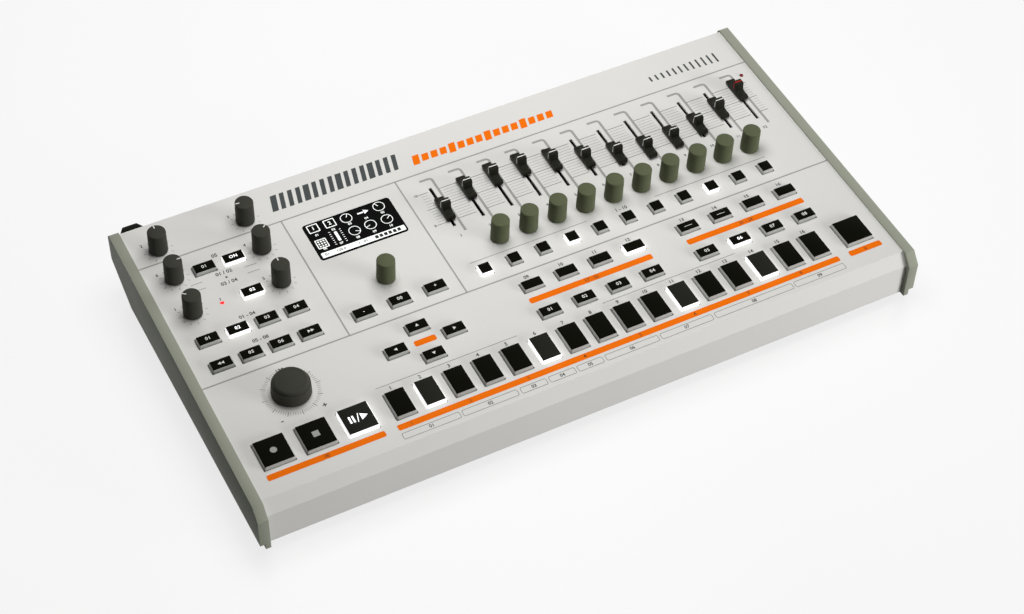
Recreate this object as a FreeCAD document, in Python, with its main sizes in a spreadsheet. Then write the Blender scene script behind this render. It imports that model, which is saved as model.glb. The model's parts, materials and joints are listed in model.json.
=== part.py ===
import FreeCAD, Part
import os
import re

import Sketcher

# Driving dimensions in millimetres and degrees. Heights are above the surface that the machine stands
# on. On the sloping panel, u runs to the right from the middle, v runs up the slope from the front
# fold and w stands square on the panel's top face. The controls' places are given for a panel of the
# layout's half width and depth, and they spread or close up with the panel. So do the rear sockets.
SIZES = {
    "overall_width": 498.0,
    "overall_depth": 265.0,
    "case_sheet": 1.5,
    "case_clearance": 5.0,
    "front_setback": 3.4,
    "bevel_foot_height": 30.9,
    "fold_setback": 10.0,
    "fold_height": 39.8,
    "panel_slope": 2.6,
    "rear_flange_drop": 11.0,
    "plate_sheet": 1.2,
    "plate_flange_height": 24.0,
    "seam_gap": 0.1,
    "cheek_thickness": 7.3,
    "cheek_nose_height": 31.8,
    "cheek_fold_setback": 7.1,
    "cheek_front_stand": 0.5,
    "cheek_rear_stand": 1.5,
    "cheek_rear_reach": 2.755,
    "cheek_corner_radius": 2.5,
    "cheek_undercut_height": 28.0,
    "cheek_undercut_length": 32.7,
    "cheek_skirt_height": 8.4,
    "cheek_skirt_thickness": 3.6,
    "cheek_tab_height": 3.4,
    "foot_radius": 8.0,
    "foot_side_inset": 30.0,
    "foot_end_inset": 40.0,
    "screw_radius": 1.45,
    "screw_clearance": 0.1,
    "screw_head_radius": 2.8,
    "screw_head_height": 1.6,
    "screw_grip": 4.5,
    "rear_screw_spacing": 94.0,
    "rear_screw_drop": 6.0,
    "side_screw_spacing": 95.0,
    "side_screw_height": 14.0,
    "board_sheet": 1.6,
    "board_drop": 11.5,
    "board_side_gap": 6.4,
    "board_front": 10.0,
    "board_rear_gap": 15.9,
    "standoff_height": 6.0,
    "standoff_radius": 3.0,
    "main_board_length": 105.0,
    "main_board_margin": 16.9,
    "main_board_screw_inset": 8.0,
    "cap_rise": 3.0,
    "skirt_rise": 0.4,
    "cap_margin": 0.9,
    "button_gap": 0.3,
    "button_travel": 1.0,
    "flange_gap": 0.15,
    "flange_margin": 0.9,
    "flange_thickness": 1.0,
    "plunger_radius": 1.6,
    "plunger_reach": 1.2,
    "switch_width": 6.0,
    "switch_height": 5.0,
    "switch_gap": 0.3,
    "shaft_radius": 3.0,
    "shaft_running_gap": 0.05,
    "shaft_rise": 11.0,
    "shaft_reach": 5.0,
    "shaft_hole_gap": 0.6,
    "pot_width": 11.0,
    "pot_height": 6.8,
    "pot_collar_radius": 4.2,
    "knob_gap": 0.6,
    "knob_edge": 0.5,
    "knob_base_radius": 6.7,
    "knob_top_radius": 6.45,
    "dark_knob_height": 18.9,
    "green_knob_height": 18.6,
    "tempo_base_radius": 13.5,
    "tempo_top_radius": 12.0,
    "tempo_height": 12.5,
    "tempo_edge": 1.6,
    "fader_first": -29.5,
    "fader_pitch": 22.59,
    "fader_travel": 30.0,
    "fader_middle": 176.5,
    "slot_middle": 175.45,
    "slot_width": 2.4,
    "slot_length": 39.9,
    "fader_gap": 0.2,
    "fader_cap_length": 21.6,
    "fader_cap_width": 6.8,
    "fader_cap_lift": 1.2,
    "fader_end_height": 3.4,
    "fader_shoulder_height": 5.0,
    "fader_grip_height": 11.1,
    "fader_grip_length": 5.0,
    "fader_grip_slope": 1.0,
    "fader_end_slope": 1.3,
    "lever_width": 1.2,
    "lever_length": 4.0,
    "carriage_width": 6.0,
    "carriage_length": 8.0,
    "carriage_height": 4.0,
    "lever_height": 10.6,
    "fader_wall": 1.3,
    "fader_body_height": 7.4,
    "fader_body_length": 56.0,
    "display_middle_u": -93.0,
    "display_middle_v": 182.9,
    "display_width": 66.5,
    "display_length": 35.4,
    "display_corner": 2.5,
    "display_module_margin": 3.0,
    "lamp_hole_radius": 1.3,
    "filter_lamp_u": -201.6,
    "filter_lamp_v": 160.0,
    "level_lamp_u": 231.7,
    "level_lamp_v": 199.6,
    "socket_hole_gap": 0.1,
    "jack_first": -50.0,
    "jack_pitch": 24.0,
    "jack_count": 8.0,
    "jack_width": 15.0,
    "jack_height": 14.0,
    "jack_depth": 28.0,
    "jack_bushing_radius": 5.4,
    "jack_stand": 3.0,
    "jack_nut_radius": 7.2,
    "jack_nut_thickness": 2.0,
    "jack_bore_radius": 3.2,
    "jack_bore_depth": 24.0,
    "din_first": -130.0,
    "din_pitch": 24.0,
    "din_count": 3.0,
    "din_width": 20.0,
    "din_height": 19.0,
    "din_depth": 12.0,
    "din_radius": 8.0,
    "din_recess_radius": 6.7,
    "din_recess_depth": 7.0,
    "usb_middle": -158.0,
    "usb_width": 12.0,
    "usb_height": 11.0,
    "usb_depth": 16.0,
    "usb_mouth_width": 8.8,
    "usb_mouth_height": 7.8,
    "usb_mouth_depth": 9.0,
    "inlet_middle": -206.0,
    "inlet_width": 9.4,
    "inlet_height": 11.0,
    "inlet_depth": 13.0,
    "inlet_bore_radius": 3.15,
    "inlet_bore_depth": 9.0,
    "inlet_hole_gap": 0.8,
    "rocker_middle": -182.0,
    "rocker_height": 23.5,
    "rocker_width": 9.0,
    "rocker_length": 13.0,
    "rocker_thickness": 3.0,
    "rocker_tilt": 7.0,
    "rocker_stand": 1.2,
    "rocker_gap": 0.6,
    "rocker_hub_radius": 2.2,
    "rocker_pin_radius": 0.9,
    "rocker_frame_wall": 1.6,
    "rocker_frame_depth": 9.0,
    "hook_reach": 7.355,
    "hook_base_width": 19.8,
    "hook_end_width": 10.5,
    "hook_height": 13.0,
    "hook_drop": 2.0,
    "hook_roof": 2.0,
    "hook_lip": 1.9,
}

# Button rows on the panel: bank, first u, v, pitch, count, cap width and cap length.
BUTTON_ROWS = {
    "record": ("record_button", -220.05, 30.8, 0.0, 1, "transport_cap_width", "key_cap_length"),
    "stop": ("stop_button", -190.7, 30.8, 0.0, 1, "transport_cap_width", "key_cap_length"),
    "play": ("play_button", -161.4, 30.8, 0.0, 1, "transport_cap_width", "key_cap_length"),
    "tap": ("tap_button", 218.8, 30.6, 0.0, 1, "transport_cap_width", "key_cap_length"),
    "early_step": ("step_keys_1_to_8", -131.3, 30.8, 21.24, 8, "key_cap_width", "key_cap_length"),
    "late_step": ("step_keys_9_to_16", 38.6, 30.7, 21.24, 8, "key_cap_width", "key_cap_length"),
    "filter_upper": ("filter_buttons", -201.0, 193.1, 21.3, 2, "small_cap_width", "small_cap_length"),
    "filter_lower": ("filter_buttons", -179.7, 159.9, 0.0, 1, "small_cap_width", "small_cap_length"),
    "pattern_upper": ("pattern_buttons", -222.6, 133.4, 21.13, 4, "small_cap_width", "small_cap_length"),
    "pattern_lower": ("pattern_buttons", -222.6, 110.3, 21.13, 4, "small_cap_width", "small_cap_length"),
    "menu": ("menu_buttons", -120.3, 110.1, 26.6, 3, "small_cap_width", "small_cap_length"),
    "voice": ("voice_select_buttons", -29.2, 109.9, 22.56, 11, "square_cap_width", "square_cap_width"),
    "arrow_up": ("arrow_buttons", -93.6, 83.9, 0.0, 1, "small_cap_width", "small_cap_length"),
    "arrow_side": ("arrow_buttons", -115.0, 71.1, 42.8, 2, "small_cap_width", "small_cap_length"),
    "arrow_down": ("arrow_buttons", -93.6, 57.9, 0.0, 1, "small_cap_width", "small_cap_length"),
    "edit_upper": ("edit_buttons", -6.7, 83.7, 26.5, 4, "small_cap_width", "small_cap_length"),
    "edit_lower": ("edit_buttons", -6.7, 57.7, 26.5, 4, "small_cap_width", "small_cap_length"),
    "mode_upper": ("mode_buttons", 116.4, 83.6, 26.67, 4, "small_cap_width", "small_cap_length"),
    "mode_lower": ("mode_buttons", 116.4, 57.6, 26.67, 4, "small_cap_width", "small_cap_length"),
}
SIZES.update({"small_cap_width": 14.2, "small_cap_length": 7.2, "square_cap_width": 8.0,
              "key_cap_width": 13.2, "key_cap_length": 20.6, "transport_cap_width": 20.3})
for row_name, (_, first_u, row_v, pitch, count, _, _) in BUTTON_ROWS.items():
    SIZES[row_name + "_row_u"] = first_u
    SIZES[row_name + "_row_v"] = row_v
    if count > 1:
        SIZES[row_name + "_row_pitch"] = pitch

# Turning controls: where each stands on the panel, as u, v and the words for its knob.
KNOBS = {
    "main_volume_knob": (-222.5, 222.6, "dark"),
    "swing_knob": (-222.5, 193.4, "dark"),
    "accent_knob": (-222.5, 160.0, "dark"),
    "phones_knob": (-158.5, 222.6, "dark"),
    "resonance_knob": (-158.5, 193.4, "dark"),
    "send_knob": (-158.5, 160.0, "dark"),
    "tempo_knob": (-190.3, 70.8, "tempo"),
    "data_knob": (-93.2, 132.9, "green"),
}
VOICE_KNOB_COUNT = 10
FADER_COUNT = 12
SIZES.update({"voice_knob_first": -6.4, "voice_knob_pitch": 22.59, "voice_knob_v": 132.3})
for knob_name, (knob_u, knob_v, _) in KNOBS.items():
    SIZES[knob_name + "_u"] = knob_u
    SIZES[knob_name + "_v"] = knob_v

# Where each fader's cap stands at rest, as its distance up the slope from the middle of its travel.
FADER_RESTS = [-5.3, 6.4, 10.0, 10.0, 4.7, -3.0, -9.3, -13.3, -12.4, -8.7, -1.2, 9.3]
for index, rest in enumerate(FADER_RESTS, start=1):
    SIZES[f"fader_rest_{index:02d}"] = rest

doc = FreeCAD.newDocument("DrumMachine")
sheet = doc.addObject("Spreadsheet::Sheet", "Sizes")
for row, (alias, value) in enumerate(SIZES.items(), start=1):
    sheet.set(f"A{row}", alias)
    sheet.set(f"B{row}", str(value))
    sheet.setAlias(f"B{row}", alias)
doc.recompute()

ALIAS = re.compile(r"\b(" + "|".join(sorted(SIZES, key=len, reverse=True)) + r")\b")

# The half width and the depth of the panel that the layout's places are given for.
DRAWN_HALF = "241.6"
DRAWN_DEPTH = "247.9"

# Places that several pieces share, as expressions on the sizes.
FRONT = "(-overall_depth / 2)"
FOLD_Y = f"({FRONT} + fold_setback)"
REAR_Y = "(overall_depth / 2 - hook_reach)"
REAR_Z = f"(fold_height + ({REAR_Y} - {FOLD_Y}) * tan(panel_slope * 1 deg))"
PANEL_DEPTH = f"(({REAR_Y} - {FOLD_Y}) / cos(panel_slope * 1 deg))"
UNDER_REAR_Z = f"({REAR_Z} - case_sheet / cos(panel_slope * 1 deg))"
INNER_HALF = "(overall_width / 2 - cheek_thickness - seam_gap)"
PLATE_TOP = "(case_clearance + plate_sheet)"
MAIN_BOARD_TOP = f"({PLATE_TOP} + standoff_height + board_sheet)"
SOCKET_FACE_Y = f"({REAR_Y} - case_sheet)"
SWITCH_TOP = "(switch_height - board_drop)"
POT_TOP = "(pot_height - board_drop)"
JACK_Z = f"({MAIN_BOARD_TOP} + jack_height / 2)"
DIN_Z = f"({MAIN_BOARD_TOP} + din_height / 2)"
USB_Z = f"({MAIN_BOARD_TOP} + usb_height / 2)"
INLET_Z = f"({MAIN_BOARD_TOP} + inlet_height / 2)"
ROCKER_Y = f"({REAR_Y} - rocker_thickness)"
FRAME = "(rocker_gap + rocker_frame_wall)"

nodes = {}


def sized(text):
    """An expression whose sizes are read from the sheet."""
    return ALIAS.sub(r"Sizes.\1", str(text))


def bind(thing, sizes):
    """Tie properties of a thing to expressions on the sizes."""
    for name, text in sizes.items():
        thing.setExpression(name, sized(text))
    return thing


def place(thing, x, y, z):
    return bind(thing, {"Placement.Base.x": x, "Placement.Base.y": y, "Placement.Base.z": z})


def on_panel(thing):
    """Lift a thing from its flat layout onto the sloping panel."""
    thing.Placement = FreeCAD.Placement(FreeCAD.Vector(), FreeCAD.Rotation(FreeCAD.Vector(1, 0, 0), 1))
    bind(thing, {"Placement.Rotation.Angle": "panel_slope * 1 deg"})
    return place(thing, "0", FOLD_Y, "fold_height")


def block(name, middle_x, middle_y, low_z, width, length, height):
    """A box centred on a place, standing on its lowest height."""
    box = doc.addObject("Part::Box", name)
    bind(box, {"Length": width, "Width": length, "Height": height})
    return place(box, f"{middle_x} - ({width}) / 2", f"{middle_y} - ({length}) / 2", low_z)


def rod(name, x, y, low_z, radius, height):
    """An upright round bar."""
    bar = doc.addObject("Part::Cylinder", name)
    bind(bar, {"Radius": radius, "Height": height})
    return place(bar, x, y, low_z)


def rod_along(name, axis, x, y, z, radius, length):
    """A round bar that starts at a place and runs to the right, left, rear or front."""
    bar = doc.addObject("Part::Cylinder", name)
    bind(bar, {"Radius": radius, "Height": length})
    pivot, angle = {"right": ((0, 1, 0), 90), "left": ((0, 1, 0), -90), "rear": ((1, 0, 0), -90),
                    "front": ((1, 0, 0), 90)}[axis]
    bar.Placement.Rotation = FreeCAD.Rotation(FreeCAD.Vector(*pivot), angle)
    return place(bar, x, y, z)


def tapered(name, middle_x, middle_y, low_z, width, length, margin, height):
    """A block that narrows upwards to its width and length from a foot with a margin all round."""
    wedge = doc.addObject("Part::Wedge", name)
    sides = {"Ymax": height}
    for word, size in (("X", width), ("Z", length)):
        for end, sign in (("min", "-"), ("max", "")):
            sides[f"{word}{end}"] = f"{sign}(({size}) / 2 + {margin})"
            sides[f"{word}2{end}"] = f"{sign}(({size}) / 2)"
    bind(wedge, sides)
    wedge.Placement.Rotation = FreeCAD.Rotation(FreeCAD.Vector(1, 0, 0), 90)
    return place(wedge, middle_x, middle_y, low_z)


def fused(name, pieces):
    joined = doc.addObject("Part::MultiFuse", name)
    joined.Shapes = pieces
    return joined


def group(name, pieces):
    bundle = doc.addObject("Part::Compound", name)
    bundle.Links = pieces
    return bundle


def cut(name, base, tool):
    result = doc.addObject("Part::Cut", name)
    result.Base = base
    result.Tool = tool
    return result


def plane(body, role):
    return next(item for item in body.Origin.OriginFeatures if item.Role == role)


def outline(body, name, role, corners):
    """A closed outline of straight edges on one of a body's own origin planes."""
    sketch = body.newObject("Sketcher::SketchObject", name)
    sketch.AttachmentSupport = [(plane(body, role), "")]
    sketch.MapMode = "FlatFace"
    spots = [FreeCAD.Vector(*(number(text) for text in corner), 0) for corner in corners]
    for index, spot in enumerate(spots):
        sketch.addGeometry(Part.LineSegment(spot, spots[(index + 1) % len(spots)]))
    for index in range(len(spots)):
        sketch.addConstraint(Sketcher.Constraint("Coincident", index, 2, (index + 1) % len(spots), 1))
    for index, corner in enumerate(corners):
        for kind, text in zip(("DistanceX", "DistanceY"), corner):
            held = sketch.addConstraint(Sketcher.Constraint(kind, -1, 1, index, 1, number(text)))
            sketch.setExpression(f"Constraints[{held}]", sized(text))
    return sketch


def number(text):
    """What an expression on the sizes comes to."""
    result = sheet.evalExpression(sized(text))
    return float(getattr(result, "Value", result))


def across(text):
    """A place across the layout, spread over the case's own width."""
    return f"({text} * {INNER_HALF} / {DRAWN_HALF})"


def along(text):
    """A place up the layout's slope, spread over the panel's own depth."""
    return f"({text} * {PANEL_DEPTH} / {DRAWN_DEPTH})"


def body_of(name, role, corners, thickness, both_ways=False):
    """A body padded from an outline."""
    body = doc.addObject("PartDesign::Body", name)
    sketch = outline(body, name + "_outline", role, corners)
    pad = body.newObject("PartDesign::Pad", name + "_pad")
    pad.Profile = sketch
    pad.Midplane = both_ways
    bind(pad, {"Length": thickness})
    return body


def finish(name, thing):
    thing.Label = name
    nodes[name] = thing
    return thing


def row_places(row_name):
    """The middles of a row's buttons."""
    count = BUTTON_ROWS[row_name][4]
    if count == 1:
        return [(across(f"{row_name}_row_u"), along(f"{row_name}_row_v"))]
    return [(across(f"({row_name}_row_u + {index} * {row_name}_row_pitch)"), along(f"{row_name}_row_v"))
            for index in range(count)]


def fader_u(index):
    return across(f"(fader_first + {index} * fader_pitch)")


def knob_spots():
    """Every turning control's name, place and kind."""
    spots = {name: (across(name + "_u"), along(name + "_v"), kind) for name, (_, _, kind) in KNOBS.items()}
    for index in range(VOICE_KNOB_COUNT):
        u = across(f"(voice_knob_first + {index} * voice_knob_pitch)")
        spots[f"voice_knob_{index + 1:02d}"] = (u, along("voice_knob_v"), "green")
    return spots


# The case: a bent top sheet with a rear flange, a bottom plate, a rear panel and two moulded cheeks.
def top_case():
    front_y = f"({FRONT} + front_setback)"
    slant = "case_sheet / cos(panel_slope * 1 deg)"
    bevel_run = "(fold_setback - front_setback)"
    bevel_lean = f"(atan(({bevel_run}) / (fold_height - bevel_foot_height)) / 2)"
    crest_lean = f"((90 deg - panel_slope * 1 deg - 2 * {bevel_lean}) / 2)"
    inner_fold_y = f"sin(panel_slope * 1 deg) + cos(panel_slope * 1 deg) * tan({crest_lean})"
    inner_fold_z = f"cos(panel_slope * 1 deg) - sin(panel_slope * 1 deg) * tan({crest_lean})"
    corners = [
        (front_y, "case_clearance"),
        (front_y, "bevel_foot_height"),
        (FOLD_Y, "fold_height"),
        (REAR_Y, REAR_Z),
        (REAR_Y, f"({REAR_Z} - {slant})"),
        (f"({REAR_Y} - case_sheet - seam_gap)",
         f"({REAR_Z} - {slant} - (case_sheet + seam_gap) * tan(panel_slope * 1 deg))"),
        (f"({REAR_Y} - case_sheet - seam_gap)", f"({REAR_Z} - rear_flange_drop)"),
        (f"({REAR_Y} - 2 * case_sheet - seam_gap)", f"({REAR_Z} - rear_flange_drop)"),
        (f"({REAR_Y} - 2 * case_sheet - seam_gap)",
         f"({REAR_Z} - {slant} - (2 * case_sheet + seam_gap) * tan(panel_slope * 1 deg))"),
        (f"({FOLD_Y} + case_sheet * ({inner_fold_y}))", f"(fold_height - case_sheet * ({inner_fold_z}))"),
        (f"({front_y} + case_sheet)", f"(bevel_foot_height - case_sheet * tan({bevel_lean}))"),
        (f"({front_y} + case_sheet)", "case_clearance"),
    ]
    shell = body_of("top_case_sheet", "YZ_Plane", corners, f"2 * {INNER_HALF}", True)
    depth = "(3 * case_sheet)"
    low = f"-({depth}) / 2"
    cutters = []
    for row_name, (_, _, _, _, _, width, length) in BUTTON_ROWS.items():
        for index, (u, v) in enumerate(row_places(row_name), start=1):
            around = "2 * (cap_margin + button_gap)"
            cutters.append(block(f"{row_name}_hole_{index}", u, v, low, f"{width} + {around}",
                                 f"{length} + {around}", depth))
    for index in range(FADER_COUNT):
        cutters.append(block(f"fader_slot_{index + 1}", fader_u(index), along("slot_middle"), low,
                             "slot_width", "slot_length", depth))
    for name, (u, v, _) in knob_spots().items():
        cutters.append(rod(f"{name}_hole", u, v, low, "shaft_radius + shaft_hole_gap", depth))
    for name in ("filter_lamp", "level_lamp"):
        cutters.append(rod(f"{name}_hole", across(f"{name}_u"), along(f"{name}_v"), low, "lamp_hole_radius",
                           depth))
    cutters.append(rounded_block("display_opening", across("display_middle_u"), along("display_middle_v"),
                                 low, "display_width", "display_length", depth, "display_corner"))
    holes = on_panel(group("panel_holes", cutters))
    pierced = cut("pierced_top_sheet", shell, holes)
    rear_holes = group("rear_flange_holes", [
        rod_along(f"flange_hole_{index}", "front", x, REAR_Y, z, "screw_radius + screw_clearance",
                  "4 * case_sheet")
        for index, (x, z) in enumerate(rear_screw_places(), start=1)])
    finish("top_case", cut("top_case_solid", pierced, rear_holes))


def rounded_block(name, middle_x, middle_y, low_z, width, length, height, corner):
    """An upright block with round corners, as two crossed boxes and four round bars."""
    pieces = [
        block(name + "_wide", middle_x, middle_y, low_z, width, f"{length} - 2 * ({corner})", height),
        block(name + "_long", middle_x, middle_y, low_z, f"{width} - 2 * ({corner})", length, height),
    ]
    for side_x in (-1, 1):
        for side_y in (-1, 1):
            x = f"{middle_x} + {side_x} * (({width}) / 2 - ({corner}))"
            y = f"{middle_y} + {side_y} * (({length}) / 2 - ({corner}))"
            pieces.append(rod(f"{name}_corner_{len(pieces) - 1}", x, y, low_z, corner, height))
    joined = fused(name, pieces)
    joined.Refine = True
    return joined


def rear_screw_places():
    return [(across(f"({index} * rear_screw_spacing)"), f"({UNDER_REAR_Z} - rear_screw_drop)")
            for index in (-2, -1, 0, 1, 2)]


def main_board_ends():
    """The left and right ends of the main board, a margin beyond its outermost sockets."""
    last_jack = across("(jack_first + (jack_count - 1) * jack_pitch)")
    return (f"({across('inlet_middle')} - inlet_width / 2 - main_board_margin)",
            f"({last_jack} + jack_width / 2 + main_board_margin)")


def main_board_middle_y():
    return f"({SOCKET_FACE_Y} - 2 * case_sheet - main_board_length / 2)"


def board_screw_places():
    left, right = main_board_ends()
    inset = "main_board_screw_inset"
    half_length = f"(main_board_length / 2 - {inset})"
    return [(x, f"({main_board_middle_y()} + {end} * {half_length})")
            for x in (f"({left} + {inset})", f"(({left} + {right}) / 2)", f"({right} - {inset})")
            for end in (-1, 1)]


def side_screw_places():
    return [along(f"({index} * side_screw_spacing)") for index in (-1, 0, 1)]


def bottom_plate():
    corners = [
        (f"-{INNER_HALF}", "case_clearance"),
        (INNER_HALF, "case_clearance"),
        (INNER_HALF, "case_clearance + plate_flange_height"),
        (f"({INNER_HALF} - plate_sheet)", "case_clearance + plate_flange_height"),
        (f"({INNER_HALF} - plate_sheet)", PLATE_TOP),
        (f"(plate_sheet - {INNER_HALF})", PLATE_TOP),
        (f"(plate_sheet - {INNER_HALF})", "case_clearance + plate_flange_height"),
        (f"-{INNER_HALF}", "case_clearance + plate_flange_height"),
    ]
    front_y = f"({FRONT} + front_setback + case_sheet + seam_gap)"
    rear_y = f"({SOCKET_FACE_Y} - seam_gap)"
    tray = body_of("bottom_tray", "XZ_Plane", corners, f"{rear_y} - {front_y}")
    place(tray, "0", rear_y, "0")
    posts = [rod(f"standoff_{index}", x, y, PLATE_TOP, "standoff_radius", "standoff_height")
             for index, (x, y) in enumerate(board_screw_places(), start=1)]
    bores = [rod(f"standoff_bore_{index}", x, y, "0", "screw_radius + screw_clearance", MAIN_BOARD_TOP)
             for index, (x, y) in enumerate(board_screw_places(), start=1)]
    for index, y in enumerate(side_screw_places(), start=1):
        bores.append(rod_along(f"side_hole_{index}", "right", "-overall_width / 2", y, "side_screw_height",
                               "screw_radius + screw_clearance", "overall_width"))
    tray_with_posts = fused("tray_with_posts", [tray] + posts)
    finish("bottom_plate", cut("bottom_plate_solid", tray_with_posts, group("plate_bores", bores)))


def cheek(name, side):
    """One moulded end cheek: a full outline, with the outer half of its lower edge cut back."""
    rear_y = f"({REAR_Y} + cheek_rear_reach)"
    undercut_slope = "(cheek_undercut_length / (cheek_undercut_height - cheek_skirt_height))"
    corners = [
        (FRONT, "cheek_tab_height"),
        (f"({rear_y} - (cheek_undercut_height - cheek_tab_height) * {undercut_slope})", "cheek_tab_height"),
        (rear_y, "cheek_undercut_height"),
        (rear_y, f"({REAR_Z} + cheek_rear_stand - cheek_corner_radius)"),
        (f"({rear_y} - cheek_corner_radius)", f"({REAR_Z} + cheek_rear_stand)"),
        (f"({FRONT} + cheek_fold_setback)", "(fold_height + cheek_front_stand)"),
        (FRONT, "cheek_nose_height"),
    ]
    slab = body_of(name + "_slab", "YZ_Plane", corners, "cheek_thickness", True)
    middle_x = f"{side} * (overall_width / 2 - cheek_thickness / 2)"
    place(slab, middle_x, "0", "0")
    rebate_x = f"{side} * (overall_width / 2 - cheek_skirt_thickness / 2 + seam_gap)"
    rebate = block(name + "_rebate", rebate_x, "0", "cheek_tab_height - seam_gap",
                   "cheek_skirt_thickness + 2 * seam_gap", "2 * overall_depth",
                   "cheek_skirt_height - cheek_tab_height + seam_gap")
    pilots = [rod_along(f"{name}_pilot_{index}", "right" if side > 0 else "left",
                        f"{side} * ({INNER_HALF} - plate_sheet)", y, "side_screw_height", "screw_radius",
                        "screw_grip + 2 * plate_sheet")
              for index, y in enumerate(side_screw_places(), start=1)]
    finish(name, cut(name + "_solid", slab, group(name + "_cuts", [rebate] + pilots)))


def sockets_of(kind):
    """The middles of a row of like sockets."""
    count = int(number(f"{kind}_count"))
    return [across(f"({kind}_first + {index} * {kind}_pitch)") for index in range(count)]


def rear_panel():
    top_z = f"({UNDER_REAR_Z} - 1.5 * case_sheet * tan(panel_slope * 1 deg))"
    sheet_body = block("rear_sheet", "0", f"({REAR_Y} - case_sheet / 2)", "case_clearance",
                       f"2 * {INNER_HALF}", "case_sheet", f"{top_z} - case_clearance")
    through = "3 * case_sheet"
    start_y = f"({REAR_Y} + case_sheet)"
    holes = []
    for kind, radius, height in (("jack", "jack_bushing_radius", JACK_Z), ("din", "din_radius", DIN_Z)):
        for index, x in enumerate(sockets_of(kind), start=1):
            holes.append(rod_along(f"{kind}_hole_{index}", "front", x, start_y, height,
                                   f"{radius} + socket_hole_gap", through))
    holes.append(rod_along("inlet_hole", "front", across("inlet_middle"), start_y, INLET_Z,
                           "inlet_bore_radius + inlet_hole_gap", through))
    usb_low = f"({USB_Z} - usb_height / 2 - socket_hole_gap)"
    holes.append(block("usb_hole", across("usb_middle"), REAR_Y, usb_low, "usb_width + 2 * socket_hole_gap",
                       through, "usb_height + 2 * socket_hole_gap"))
    around = f"({FRAME} + socket_hole_gap)"
    rocker_low = f"(rocker_height - rocker_length / 2 - {around})"
    holes.append(block("rocker_hole", across("rocker_middle"), REAR_Y, rocker_low,
                       f"rocker_width + 2 * {around}", through, f"rocker_length + 2 * {around}"))
    for index, (x, z) in enumerate(rear_screw_places(), start=1):
        holes.append(rod_along(f"rear_hole_{index}", "front", x, start_y, z, "screw_radius + screw_clearance",
                               through))
    finish("rear_panel", cut("rear_panel_solid", sheet_body, group("rear_holes", holes)))


def boards():
    length = f"({PANEL_DEPTH} - board_front - board_rear_gap)"
    plate = block("control_sheet", "0", f"board_front + {length} / 2", "-board_drop - board_sheet",
                  f"2 * ({INNER_HALF} - plate_sheet - board_side_gap)", length, "board_sheet")
    finish("control_board", on_panel(group("control_board_solid", [plate])))
    left, right = main_board_ends()
    slab = block("main_sheet", f"({left} + {right}) / 2", main_board_middle_y(),
                 f"{MAIN_BOARD_TOP} - board_sheet", f"{right} - {left}", "main_board_length", "board_sheet")
    bores = [rod(f"main_board_bore_{index}", x, y, "0", "screw_radius + screw_clearance",
                 f"2 * {MAIN_BOARD_TOP}")
             for index, (x, y) in enumerate(board_screw_places(), start=1)]
    finish("main_board", cut("main_board_solid", slab, group("main_board_bores", bores)))


# Push buttons: a frame that tapers up to the cap's size, a retaining flange under the panel and a
# plunger that runs down into the switch on the control board.
def button_bank(bank):
    pieces = []
    flange_low = "(-case_sheet - flange_gap - flange_thickness)"
    plunger_low = f"({SWITCH_TOP} - plunger_reach)"
    for row_name, (row_bank, _, _, _, _, width, length) in BUTTON_ROWS.items():
        if row_bank != bank:
            continue
        skirt_width, skirt_length = (f"({size} + 2 * cap_margin)" for size in (width, length))
        for index, (u, v) in enumerate(row_places(row_name), start=1):
            tag = f"{row_name}_{index}"
            pieces += [
                tapered(tag + "_cap", u, v, "skirt_rise", width, length, "cap_margin",
                        "cap_rise - skirt_rise"),
                block(tag + "_skirt", u, v, flange_low, skirt_width, skirt_length,
                      f"skirt_rise - {flange_low}"),
                block(tag + "_flange", u, v, flange_low, f"{skirt_width} + 2 * flange_margin",
                      f"{skirt_length} + 2 * flange_margin", "flange_thickness"),
                rod(tag + "_plunger", u, v, plunger_low, "plunger_radius", f"{flange_low} - {plunger_low}"),
            ]
    finish(bank, on_panel(fused(bank + "_solid", pieces)))


def key_switches():
    housings = []
    wells = []
    for row_name in BUTTON_ROWS:
        for index, (u, v) in enumerate(row_places(row_name), start=1):
            housings.append(block(f"{row_name}_switch_{index}", u, v, "-board_drop", "switch_width",
                                  "switch_width", "switch_height"))
            wells.append(rod(f"{row_name}_well_{index}", u, v,
                             f"({SWITCH_TOP} - plunger_reach - button_travel - 2 * switch_gap)",
                             "plunger_radius + switch_gap", "switch_height"))
    finish("key_switches", on_panel(cut("key_switches_solid", group("switch_housings", housings),
                                        group("switch_wells", wells))))


# Turning controls: a tapered cap with an eased top edge, pressed on a shaft that runs in its pot.
def knob(name, u, v, kind):
    base, top, height, edge = {
        "dark": ("knob_base_radius", "knob_top_radius", "dark_knob_height", "knob_edge"),
        "green": ("knob_base_radius", "knob_top_radius", "green_knob_height", "knob_edge"),
        "tempo": ("tempo_base_radius", "tempo_top_radius", "tempo_height", "tempo_edge"),
    }[kind]
    skirt = doc.addObject("PartDesign::Body", name + "_cap")
    corners = [("0", "knob_gap"), (base, "knob_gap"), (top, f"{height} - {edge}"),
               (f"{top} - {edge}", height), ("0", height)]
    half = outline(skirt, name + "_half", "XZ_Plane", corners)
    turned = skirt.newObject("PartDesign::Revolution", name + "_turned")
    turned.Profile = half
    turned.ReferenceAxis = (half, ["V_Axis"])
    turned.Angle = 360
    place(skirt, u, v, "0")
    socket = rod(name + "_socket", u, v, "0", "shaft_radius", "shaft_rise")
    shaft = rod(name + "_shaft", u, v, f"({POT_TOP} - shaft_reach)", "shaft_radius",
                f"shaft_rise - ({POT_TOP} - shaft_reach)")
    finish(name, on_panel(group(name + "_solid", [cut(name + "_bored_cap", skirt, socket), shaft])))


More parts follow.
